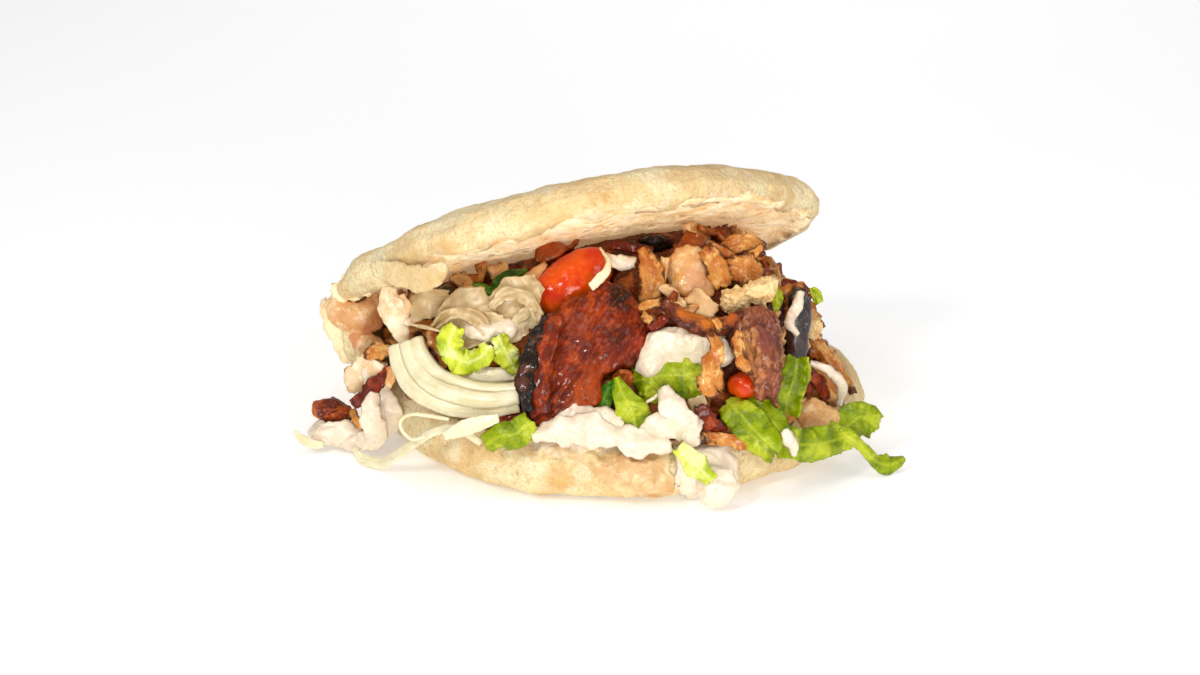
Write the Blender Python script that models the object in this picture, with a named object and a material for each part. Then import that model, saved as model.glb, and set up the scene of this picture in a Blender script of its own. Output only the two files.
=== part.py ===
"""A doner kebab sandwich: a round flatbread slit open on its front and right, hinged at the back,
with shaved meat, salad, onion and garlic sauce between its base and its raised lid.

X runs to the right, Y to the back and Z up. The origin is the middle of the flat spot under the bread.
Every length is in millimetres, and MM turns it into metres when a mesh is made.
"""

import math

import bmesh
import bpy
from mathutils import Matrix, Vector, noise

MM = 0.001
GAP = 0.3  # free space kept between two pieces that touch
HEAP_GAP = 1.6  # the heap keeps this much more room, as it gets plainer facets afterwards
HEAP_TRIM = 0.02  # what then still crosses a neighbour is cut away with this much to spare
HEAP_CELL = 1.8  # finest detail kept on the carved heap
HEAP_FACES = 1300  # facets that the heap is thinned out to before that last trim

# The bread: a base that lies flat, and a lid of the same bread turned up about the hinge
BASE_RADIUS = 87.5
BASE_FRONT_RIM = 20.0  # height of the base's rim where the bread was cut open
BASE_BACK_RIM = 13.0
BASE_BED = 13.0  # thickness of the base under the filling
BREAD_TURNS = 32  # facets round the base and the lid
LID_RADIUS = 91.0
LID_THICKNESS = 15.0
LID_CENTRE = Vector((-18.0, 14.0, 58.0))
LID_OPENING = math.radians(33.4)
HINGE_AZIMUTH = math.radians(112.0)  # the way from the middle of the bread to its hinge
HINGE_FROM = math.radians(52.0)  # the uncut wall runs from here
HINGE_TO = math.radians(197.0)  # round the back to here
WALL_THICKNESS = 8.0
FLOOR_CLEARANCE = 0.4  # fallen pieces lie this far above the plane that the bread rests on

# The heap of shaved meat that fills the pocket: its radius at each height, in each direction
HEAP_HEIGHTS = (10, 22, 32, 42, 52, 61, 69, 76)
HEAP_RADII = {
    -90: (76, 77, 73, 67, 60, 50, 38, 22),
    -55: (76, 78, 77, 75, 71, 62, 48, 28),
    -10: (74, 71, 64, 57, 50, 45, 36, 20),
    45: (74, 72, 68, 60, 52, 44, 34, 18),
    110: (80, 80, 76, 68, 58, 46, 32, 16),
    195: (78, 82, 83, 80, 73, 60, 40, 20),
    235: (76, 80, 80, 75, 68, 57, 42, 22),
    270: (76, 77, 73, 67, 60, 50, 38, 22),
}

# Slices and leaves
RIM_THINNER = 0.55  # thickness at the rim, as a share of that in the middle
FRILL_WAVES = 5  # ruffles round the rim of a leaf

TAU = 2 * math.pi


def clear_scene():
    for obj in list(bpy.data.objects):
        bpy.data.objects.remove(obj, do_unlink=True)


def material(name, colour, roughness=0.6):
    """One Principled material for each kind of food, made the first time it is asked for."""
    found = bpy.data.materials.get(name)
    if found:
        return found
    made = bpy.data.materials.new(name)
    made.use_nodes = True
    made.diffuse_color = (*colour, 1)
    shader = made.node_tree.nodes["Principled BSDF"]
    shader.inputs["Base Color"].default_value = (*colour, 1)
    shader.inputs["Roughness"].default_value = roughness
    shader.inputs["Metallic"].default_value = 0
    return made


# The colour and roughness of each kind of food
FOODS = {
    "crust": ((0.80, 0.62, 0.36), 0.8),
    "browned_meat": ((0.36, 0.10, 0.03), 0.45),
    "charred_meat": ((0.05, 0.03, 0.03), 0.5),
    "pale_meat": ((0.66, 0.40, 0.22), 0.5),
    "tan_meat": ((0.60, 0.27, 0.08), 0.45),
    "tomato": ((0.72, 0.09, 0.01), 0.25),
    "aubergine": ((0.05, 0.02, 0.025), 0.35),
    "sauce": ((0.86, 0.74, 0.60), 0.4),
    "cheese": ((0.84, 0.67, 0.40), 0.8),
    "lettuce": ((0.22, 0.42, 0.02), 0.45),
    "dark_leaf": ((0.04, 0.13, 0.01), 0.45),
    "onion": ((0.80, 0.76, 0.54), 0.35),
    "cabbage": ((0.76, 0.66, 0.46), 0.45),
    "heap": ((0.30, 0.10, 0.04), 0.6),
}

WHOLE_FORMS = {}  # the meshes that each piece is made of, before its neighbours press into it


def add_object(name, form, food):
    """Turns a form in millimetres into a named object in metres, with the material of its food."""
    bmesh.ops.recalc_face_normals(form, faces=form.faces)
    bmesh.ops.triangulate(form, faces=form.faces)
    bmesh.ops.scale(form, vec=(MM, MM, MM), verts=form.verts)
    mesh = bpy.data.meshes.new(name)
    form.to_mesh(mesh)
    form.free()
    obj = bpy.data.objects.new(name, mesh)
    bpy.context.scene.collection.objects.link(obj)
    mesh.materials.append(material(food, *FOODS[food]))
    WHOLE_FORMS[name] = [mesh.copy()]
    return obj


def rough(point, scale, seed):
    """Smooth noise from -1 to 1 at a point in millimetres, with bumps about scale wide."""
    return noise.noise(Vector(point) / scale + Vector((seed * 7.3, seed * 3.1, seed * 5.7)))


def through(points, count, closed=False):
    """count points on a smooth curve that passes through the given ones."""
    total = len(points)
    spans = total if closed else total - 1
    made = []
    for k in range(count):
        t = k * spans / (count if closed else count - 1)
        i = min(int(t), spans - 1)
        f = t - i
        if closed:
            a, b, c, d = (Vector(points[(i + n) % total]) for n in (-1, 0, 1, 2))
        else:
            a, b, c, d = (Vector(points[max(0, min(total - 1, i + n))]) for n in (-1, 0, 1, 2))
        made.append(
            0.5 * (2 * b + (c - a) * f + (2 * a - 5 * b + 4 * c - d) * f * f + (3 * b - a - 3 * c + d) * f ** 3)
        )
    return made


def closed_loft(rings, first, last):
    """A closed skin over rings of equal count, each end drawn in to a point."""
    form = bmesh.new()
    loops = [[form.verts.new(p) for p in ring] for ring in rings]
    start, end = form.verts.new(first), form.verts.new(last)
    count = len(loops[0])
    for i in range(count):
        j = (i + 1) % count
        form.faces.new((start, loops[0][j], loops[0][i]))
        form.faces.new((end, loops[-1][i], loops[-1][j]))
        for near, far in zip(loops, loops[1:]):
            form.faces.new((near[i], near[j], far[j]))
            form.faces.new((near[i], far[j], far[i]))
    return form


def facing(at, roll=0.0, lean=21.0, yaw=0.0):
    """Stands a piece up at a place: roll turns it anticlockwise as seen from the front, lean tips its
    top backwards and yaw turns it about the vertical."""
    turn = (
        Matrix.Rotation(math.radians(yaw), 4, "Z")
        @ Matrix.Rotation(math.radians(-lean), 4, "X")
        @ Matrix.Rotation(math.radians(-roll), 4, "Y")
    )
    return Matrix.Translation(at) @ turn


def oval(length, width, taper=0.0, square=2.3):
    """The outline of a strip or leaf, as (along, across) points, narrower by taper towards +along."""
    count = 12
    made = []
    for k in range(count):
        angle = TAU * k / count
        c, s = math.cos(angle), math.sin(angle)
        x = math.copysign(abs(c) ** (2 / square), c)
        y = math.copysign(abs(s) ** (2 / square), s)
        made.append((x * length / 2, y * width / 2 * (1 - taper * x)))
    return made


def slice_piece(name, food, outline, thickness, place, count=12, shares=(0.6, 1.0), bow=(0, 0),
                ripple=0.0, ragged=0.05, frill=0.0, seed=1):
    """A slice or leaf: two faces over a bent middle surface, joined by a rim. outline is a list of
    (along, up) points, and shares says how far out the rings of each face lie. bow bends the ends back
    along each way, and frill ruffles the rim."""
    edge = [p.to_2d() for p in through([(x, z, 0) for x, z in outline], count, closed=True)]
    middle = sum(edge, Vector((0, 0))) / count
    reach_x = max(abs(p.x - middle.x) for p in edge)
    reach_z = max(abs(p.y - middle.y) for p in edge)

    def layer(share, side):
        """One ring, at a share of the way out to the rim, on the front (-1) or back (1) face."""
        ring = []
        for k, p in enumerate(edge):
            jag = 1 + ragged * rough((p.x, p.y, 0), 3.0, seed) if share == 1 else 1
            x, z = middle + (p - middle) * share * jag
            a, b = (x - middle.x) / reach_x, (z - middle.y) / reach_z
            depth = bow[0] * a * a + bow[1] * b * b
            depth += ripple * rough((x, 0, z), 6.0, seed)
            depth += frill * share * share * math.sin(TAU * FRILL_WAVES * k / count + seed)
            thin = RIM_THINNER if share == 1 else 1
            ring.append(place @ Vector((x, depth + side * thin * thickness / 2, z)))
        return ring

    def pole(side):
        depth = ripple * rough((middle.x, 0, middle.y), 6.0, seed)
        return place @ Vector((middle.x, depth + side * thickness / 2, middle.y))

    rings = [layer(s, -1) for s in shares] + [layer(s, 1) for s in reversed(shares)]
    return add_object(name, closed_loft(rings, pole(-1), pole(1)), food)


def strip_form(path, widths, thickness, face=(0, -1, 0.4), count=14):
    """A flat strip with rounded edges along a smooth path, its broad side turned to face."""
    line = through(path, count)
    broad = [p.x for p in through([(w, 0, 0) for w in widths], count)]
    rings = []
    for k, p in enumerate(line):
        along = (line[min(k + 1, count - 1)] - line[max(k - 1, 0)]).normalized()
        across = along.cross(Vector(face)).normalized()
        out = across.cross(along).normalized()
        half, deep = broad[k] / 2, thickness / 2
        section = ((-1, 0), (-0.6, -1), (0.6, -1), (1, 0), (0.6, 1), (-0.6, 1))
        rings.append([p + across * half * a + out * deep * b for a, b in section])
    return closed_loft(rings, line[0], line[-1])


def strip_piece(name, food, path, widths, thickness, face=(0, -1, 0.4), count=14):
    return add_object(name, strip_form(path, widths, thickness, face, count), food)


def lump_form(reach, place, bumps=0.15, bump_size=6.0, detail=3, seed=1):
    """A rounded lump with half lengths in reach, its surface pushed in and out by bumps."""
    form = bmesh.new()
    bmesh.ops.create_icosphere(form, subdivisions=detail, radius=1)
    for vert in form.verts:
        local = Vector(v * r for v, r in zip(vert.co, reach))
        vert.co = place @ (local * (1 + bumps * rough(local, bump_size, seed)))
    return form


def lump_piece(name, food, reach, place, bumps=0.15, bump_size=6.0, detail=2, seed=1):
    return add_object(name, lump_form(reach, place, bumps, bump_size, detail, seed), food)


def joined(name, food, *forms):
    """Several overlapping shapes made one solid by one Boolean union over a collection."""
    first, *rest = [add_object(name if k == 0 else f"{name}_{k}", f, food) for k, f in enumerate(forms)]
    others = bpy.data.collections.new(name + "_parts")
    for obj in rest:
        WHOLE_FORMS[name] += WHOLE_FORMS.pop(obj.name)
        bpy.context.scene.collection.objects.unlink(obj)
        others.objects.link(obj)
    cut_with(first, others, "UNION")
    keep_largest(first)
    return first


def bake(obj):
    """Applies an object's modifiers to its mesh."""
    bpy.context.view_layer.update()
    graph = bpy.context.evaluated_depsgraph_get()
    mesh = bpy.data.meshes.new_from_object(obj.evaluated_get(graph))
    obj.modifiers.clear()
    obj.data = mesh


def cut_with(obj, others, operation):
    """Applies one Boolean of obj with the solids in a collection, and removes those. The exact way of
    solving it left edges with four faces on the bread, and this one doesn't."""
    step = obj.modifiers.new("Boolean", "BOOLEAN")
    step.operation = operation
    step.operand_type = "COLLECTION"
    step.collection = others
    step.solver = "MANIFOLD"
    bake(obj)
    for other in list(others.objects):
        bpy.data.objects.remove(other, do_unlink=True)
    bpy.data.collections.remove(others)


def swell(angle, centre, width):
    """1 at a direction and falling smoothly to 0 about width degrees to each side of it."""
    away = math.degrees(math.remainder(angle - math.radians(centre), TAU))
    return math.exp(-((away / width) ** 2) * 2)


def rim_height(angle):
    """The base's rim stands highest where the bread was cut, at the front and most at the front left."""
    front = 0.5 + 0.5 * math.cos(angle + math.radians(100))
    return BASE_BACK_RIM + (BASE_FRONT_RIM - BASE_BACK_RIM) * front + 5.0 * swell(angle, 218, 40)


def base_radius(angle):
    """The round base is a little wider at its front left and narrower at its front right."""
    oval_part = 0.03 * math.cos(2 * (angle - math.radians(215)))
    return BASE_RADIUS * (1 + oval_part + 0.006 * math.sin(5 * angle) + 0.004 * math.sin(9 * angle + 1))


# The base's half section from the middle of its top, over the rim, to its flat underside:
# (share of the radius, share of the rim's height, height added)
BASE_SECTION = (
    (0.40, 0.0, BASE_BED),
    (0.70, 0.25, BASE_BED - 3),
    (0.86, 0.9, 0.0),
    (0.94, 1.0, 0.0),
    (0.985, 0.80, 0.0),
    (1.0, 0.45, 0.0),
    (0.975, 0.18, 0.0),
    (0.90, 0.04, 0.0),
    (0.80, 0.0, 0.0),
)


def base_point(angle, share, rim_share, added):
    """A point on the base's skin, slightly bumpy except on the flat underside."""
    r = base_radius(angle) * share
    z = rim_height(angle) * rim_share + added
    point = Vector((r * math.cos(angle), r * math.sin(angle), z))
    if z > 1:
        point.z += 1.0 * rough(point, 14.0, 3)
    return point


def lid_matrix():
    """The lid's own axes: X along the hinge, Y down the lid's slope to the front, Z out of its top."""
    hinge = Vector((math.sin(HINGE_AZIMUTH), -math.cos(HINGE_AZIMUTH), 0))
    level = Vector((-math.cos(HINGE_AZIMUTH), -math.sin(HINGE_AZIMUTH), 0))
    forward = level * math.cos(LID_OPENING) + Vector((0, 0, math.sin(LID_OPENING)))
    up = hinge.cross(-forward)
    turn = Matrix((hinge, -forward, up)).transposed().to_4x4()
    return Matrix.Translation(LID_CENTRE) @ turn


LID = lid_matrix()
BEND_START = 36.0  # the lid starts to level out this far behind its middle
BEND_END = math.radians(27.0)  # and has turned down by this much at its back edge


def lid_place(x, y, z):
    """Places a point of the lid, with the part near the hinge bent level so that it meets the base."""
    if y > BEND_START:
        span = LID_RADIUS - BEND_START
        steps = 6
        ahead, drop = 0.0, 0.0
        for k in range(steps):
            turn = BEND_END * (k + 0.5) / steps * min(1.3, (y - BEND_START) / span)
            ahead += math.cos(turn) * (y - BEND_START) / steps
            drop += math.sin(turn) * (y - BEND_START) / steps
        y, z = BEND_START + ahead, z + drop
    return LID @ Vector((x, y, z))


def lid_radius(angle):
    uneven = 0.01 * math.sin(4 * angle) + 0.008 * math.sin(7 * angle + 2)
    return LID_RADIUS * (1 + uneven - 0.03 * swell(angle, 30, 35))


# The lid's section from the middle of its top to the middle of its underside:
# (share of the radius, height over the middle of its thickness)
LID_SECTION = (
    (0.40, 0.62),
    (0.70, 0.58),
    (0.88, 0.50),
    (0.97, 0.30),
    (1.0, -0.05),
    (0.975, -0.42),
    (0.92, -0.55),
    (0.84, -0.38),
    (0.60, -0.30),
    (0.30, -0.28),
)


def lid_point(angle, share, height):
    """angle is counted as on the base, from the right and anticlockwise from above."""
    local = angle - HINGE_AZIMUTH + math.pi / 2
    r = lid_radius(angle) * share
    thick = LID_THICKNESS * (1 + 0.12 * math.cos(angle - math.radians(245)) - 0.4 * swell(angle, 192, 30))
    x, y = r * math.cos(local), r * math.sin(local)
    return lid_place(x, y, thick * height + 1.1 * rough((x, y, height * 9), 16.0, 5))


def wall_form():
    """The uncut edge round the back and the left that hinges the lid on the base."""
    stations = 15
    rings = []
    for k in range(stations):
        angle = HINGE_FROM + (HINGE_TO - HINGE_FROM) * k / (stations - 1)
        low = base_point(angle, 0.96, 0.4, 0)
        high = lid_point(angle, 0.93, 0.05)
        out = Vector((math.cos(angle), math.sin(angle), 0))
        bulge = 0.14 * (high - low).length
        deep = WALL_THICKNESS * (0.85 + 0.25 * rough((angle * 30, 0, 0), 12.0, 8))
        line = through([low, (low + high) / 2 + out * bulge, high], 5)
        outer = [p + out * deep * 0.48 for p in line]
        inner = [p - out * deep * 0.52 for p in reversed(line)]
        rings.append(outer + inner)
    return closed_loft(rings, rounded_end(rings[0], HINGE_FROM, -1), rounded_end(rings[-1], HINGE_TO, 1))


def rounded_end(ring, angle, way):
    """The tip of the wall's end, a little past the middle of its last ring."""
    middle = (ring[2] + ring[7]) / 2
    return middle + way * 3.0 * Vector((-math.sin(angle), math.cos(angle), 0))


def make_bread():
    """Base, lid and uncut wall, joined as the one piece of bread that they are."""
    angles = [TAU * k / BREAD_TURNS for k in range(BREAD_TURNS)]
    base_rings = [[base_point(a, *row) for a in angles] for row in BASE_SECTION]
    base = closed_loft(base_rings, (0, 0, BASE_BED), (0, 0, 0))
    lid_rings = [[lid_point(a, *row) for a in angles] for row in LID_SECTION]
    top, under = (lid_place(0, 0, row[1] * LID_THICKNESS) for row in (LID_SECTION[0], LID_SECTION[-1]))
    lid = closed_loft(lid_rings, top, under)
    return joined("bread", "crust", base, lid, wall_form())


def heap_radius(angle, height):
    """Read from the table of radii, turning smoothly from one direction to the next."""
    degrees = (math.degrees(angle) + 90) % 360 - 90
    stops = list(HEAP_RADII)
    after = next(k for k in range(1, len(stops)) if stops[k] >= degrees - 1e-6)
    share = (degrees - stops[after - 1]) / (stops[after] - stops[after - 1])
    share = share * share * (3 - 2 * share)
    row = [a + (b - a) * share for a, b in zip(HEAP_RADII[stops[after - 1]], HEAP_RADII[stops[after]])]
    level = max(k for k in range(len(row) - 1) if HEAP_HEIGHTS[k] <= height or k == 0)
    climb = (height - HEAP_HEIGHTS[level]) / (HEAP_HEIGHTS[level + 1] - HEAP_HEIGHTS[level])
    return row[level] + (row[level + 1] - row[level]) * climb


def heap_point(angle, height, out=0.0):
    r = heap_radius(angle, height) + out
    return Vector((r * math.cos(angle), r * math.sin(angle), height))


def make_heap():
    """The shaved meat inside: a mound that the bread trims above, below and at the back, with the
    shreds that show at its open front and right fused on."""
    turns = 22
    rings = []
    for height in HEAP_HEIGHTS:
        ring = []
        for n in range(turns):
            angle = TAU * n / turns
            point = heap_point(angle, height)
            ring.append(heap_point(angle, height, 2.5 * rough(point, 11.0, 4)))
        rings.append(ring)
    forms = [closed_loft(rings, (0, 0, HEAP_HEIGHTS[0]), (0, 0, HEAP_HEIGHTS[-1] + 1.5))]
    shreds = 14
    for n in range(shreds):
        angle = math.radians(-42 + 100 * (n + 0.5) / shreds)
        height = 20 + 34 * ((n * 0.618) % 1.0)
        turn = facing(heap_point(angle, height, -0.5), roll=(n * 67) % 180, lean=25,
                      yaw=math.degrees(angle) + 90)
        forms.append(lump_form((9, 3.2, 4.4), turn, bumps=0.35, bump_size=5, detail=2, seed=20 + n))
    return joined("meat_heap", "heap", *forms)


def make_meat():
    """The slices of browned, pale and charred meat that show in the mouth of the sandwich."""
    front = facing((-14.5, -66, 50), lean=39)
    outline = (
        (8, 26), (13, 25), (18, 19), (19, 14), (23, 7), (21, 0), (17, -5), (8, -7), (6, -12),
        (7, -17), (1, -20), (-3, -19), (-6, -23), (-11, -26), (-16, -27), (-17, -21), (-15, -10),
        (-16, 0), (-13, 9), (-8, 19), (0, 22), (5, 24),
    )
    slice_piece("meat_browned_slice", "browned_meat", outline, 5.0, front, count=30, shares=(0.45, 0.8, 1.0),
                bow=(3, 2), ripple=1.6, seed=2)
    rolled_edge = [(-8, -1.5, 20), (-15, -1.5, 9), (-18, -1.8, 0), (-19, -1.2, -10), (-19.5, 0, -19)]
    strip_piece("meat_charred_edge", "charred_meat", [front @ Vector(p) for p in rolled_edge],
                (3, 5, 5, 5, 3.5), 4.0, count=10)
    slice_piece("meat_red_strip", "browned_meat", oval(21, 8.5, taper=0.35), 3.6,
                facing((6.7, -43, 68), roll=107, lean=30), bow=(1.5, 2), ripple=0.8, seed=4)
    slice_piece("meat_pale_slice", "pale_meat", oval(22, 17, taper=0.1), 4.2,
                facing((22.5, -41, 69.5), roll=98, lean=32, yaw=-5), count=14, bow=(2, 3), ripple=0.9, seed=5)
    lump_piece("meat_burnt_bit", "charred_meat", (5.8, 3.4, 3.4), facing((10.5, -24, 74.6), roll=8),
               bumps=0.5, bump_size=3.5, seed=6)
    slice_piece("meat_folded_strip", "tan_meat", oval(15, 8, taper=-0.2), 3.4,
                facing((31.5, -39, 71), roll=-52, lean=26, yaw=10), bow=(2.5, -1), ripple=0.8, seed=7)
    joined("meat_crisp_edge", "tan_meat",
           lump_form((8.4, 4.4, 4.0), facing((40.5, -29, 73.5), roll=-6), 0.5, 4.0, 2, 8),
           lump_form((6.4, 3.4, 4.8), facing((41.5, -33, 68), roll=-12), 0.3, 4.0, 2, 9))
    strip_piece("meat_crescent", "browned_meat",
                [(14, -63, 66), (19, -66, 63), (26, -68, 60), (33.5, -66, 59.5), (39, -62, 63)],
                (4, 6.2, 6.8, 6, 3.5), 5.0, count=10)
    curl = ((-8, 14), (0, 16), (8, 13), (9.5, 3), (8, -7), (6, -15), (4.5, -21), (2, -16), (-2.5, -12),
            (-6, -5), (-8.5, 2), (-11, 9))
    slice_piece("meat_curled_slice", "browned_meat", curl, 5.0, facing((45.5, -68, 51.5), lean=27, yaw=12),
                count=18, shares=(0.45, 0.8, 1.0), bow=(4, 2), ripple=1.4, ragged=0.1, seed=10)
    wedge = ((-4, 12), (-1.4, 8), (1, 4.5), (5.2, 1), (5.8, -3.4), (3.8, -7.9), (-1, -8.6), (-3.8, -4.5),
             (-4.5, 0), (-2.7, 5.2))
    slice_piece("meat_tan_slice", "tan_meat", wedge, 3.6, facing((29.5, -76, 46.5), lean=25), bow=(1.5, 1),
                ripple=0.8, ragged=0.08, seed=11)
    slice_piece("meat_low_piece", "tan_meat", oval(13, 8, taper=0.2), 4.0,
                facing((28.5, -72, 27.5), roll=-55, lean=30), bow=(1, 1), ripple=1.0, seed=12)
    lump_piece("meat_on_base", "pale_meat", (12, 5, 3.4), facing((37, -70, 21.5), roll=-3), bumps=0.3,
               bump_size=5, seed=13)
    slice_piece("meat_under_onion", "browned_meat", oval(22, 9), 6.0,
                facing((-44, -69, 27.5), roll=-4, lean=35), ripple=1.2, ragged=0.12, seed=14)
    lump_piece("meat_brown_tip", "tan_meat", (6.4, 5.0, 4.4), facing((59, -29, 57.5), roll=25),
               bumps=0.4, bump_size=4, seed=15)
    strip_piece("meat_strip_right", "tan_meat",
                [(65, -12, 35), (70.5, -12, 30.5), (76, -14, 24), (80, -17, 18.5), (82.5, -19, 15.5)],
                (4, 6.5, 6.5, 5.5, 3), 5.0, face=(0.6, -1, 0.6), count=9)
    slice_piece("meat_sauced_slice", "tan_meat", oval(21, 13, taper=-0.15), 5.4,
                facing((70.5, -30, 23), roll=-52, lean=32, yaw=22), count=14, bow=(2, 2), ripple=1.2, seed=17)
    flap = ((-7.5, 5), (-2, 8), (4, 5), (8, 0), (6.5, -5), (1, -8), (-5, -6), (-8, 0))
    slice_piece("meat_pale_flap", "pale_meat", flap, 3.4, facing((68.5, -51, 19.5), lean=40, yaw=18),
                bow=(2, 2), ripple=0.8, seed=18)
    slice_piece("meat_red_bit_left", "browned_meat", oval(11, 5), 3.4,
                facing((-65.3, -30, 49), roll=62, lean=20), count=10, bow=(1, 0), ripple=0.5, seed=19)
    slice_piece("meat_tan_bit_left", "tan_meat", oval(15, 5.4, taper=-0.2), 3.4,
                facing((-65, -44, 40), roll=-62, lean=25), count=10, bow=(1, 0), ripple=0.6, seed=20)
    slice_piece("meat_sauced_left", "pale_meat", oval(23, 11.5, taper=-0.2), 6.0,
                facing((-80.5, -36, 52), roll=-68, lean=15, yaw=-25), bow=(2, 2), ripple=1.2, seed=21)
    joined("meat_in_pocket", "pale_meat",
           lump_form((10.5, 9, 10), facing((-96, -14, 46), roll=25), 0.3, 8, 2, 22),
           lump_form((7, 7, 5), facing((-93, -20, 35), roll=-20), 0.3, 6, 2, 23))


def make_spill():
    """What has fallen out at the left: meat against the bread's side, and sauced meat on the table."""
    slice_piece("spill_pale_slice", "pale_meat", oval(18, 12, taper=-0.1), 6.0,
                facing((-94.5, -28, 25), roll=42, lean=15, yaw=-20), bow=(1, 1), ripple=0.8, seed=31)
    joined("spill_brown_strip", "tan_meat",
           lump_form((13.0, 4.4, 3.6), facing((-88.5, -36, 21.5), roll=47), 0.4, 4.0, 2, 32),
           lump_form((5.5, 5, 4.6), facing((-87.5, -30, 32), roll=20), 0.4, 4.0, 2, 33),
           lump_form((5.0, 4.0, 3.2), facing((-96.5, -36, 13.0), roll=20), 0.4, 3.0, 2, 34))
    lump_piece("spill_glazed_bit", "browned_meat", (8.2, 6.2, 4.8), facing((-106, -27, 11.8), roll=-10),
               bumps=0.28, bump_size=6, seed=35)
    joined("spill_sauced_bit", "sauce",
           lump_form((9.5, 7.5, 4.6), facing((-104.5, -32, FLOOR_CLEARANCE + 5.0), roll=-6), 0.2, 6.0, 2, 36),
           lump_form((4.6, 5.4, 9.2), facing((-89.5, -41, 12.0), roll=10), 0.3, 5.0, 2, 37),
           lump_form((8.5, 5.5, 4.2), facing((-96.5, -36, FLOOR_CLEARANCE + 5.2), roll=6), 0.3, 5.0, 2, 38))
    strip_piece("cabbage_tail", "cabbage",
                [(-118.5, -38, 6.2), (-115, -39, 3.4), (-110.5, -40, 1.9), (-105, -40.5, 1.6)],
                (1.2, 3.2, 3.6, 2.5), 1.1, face=(0, -1, 1), count=8)


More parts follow.
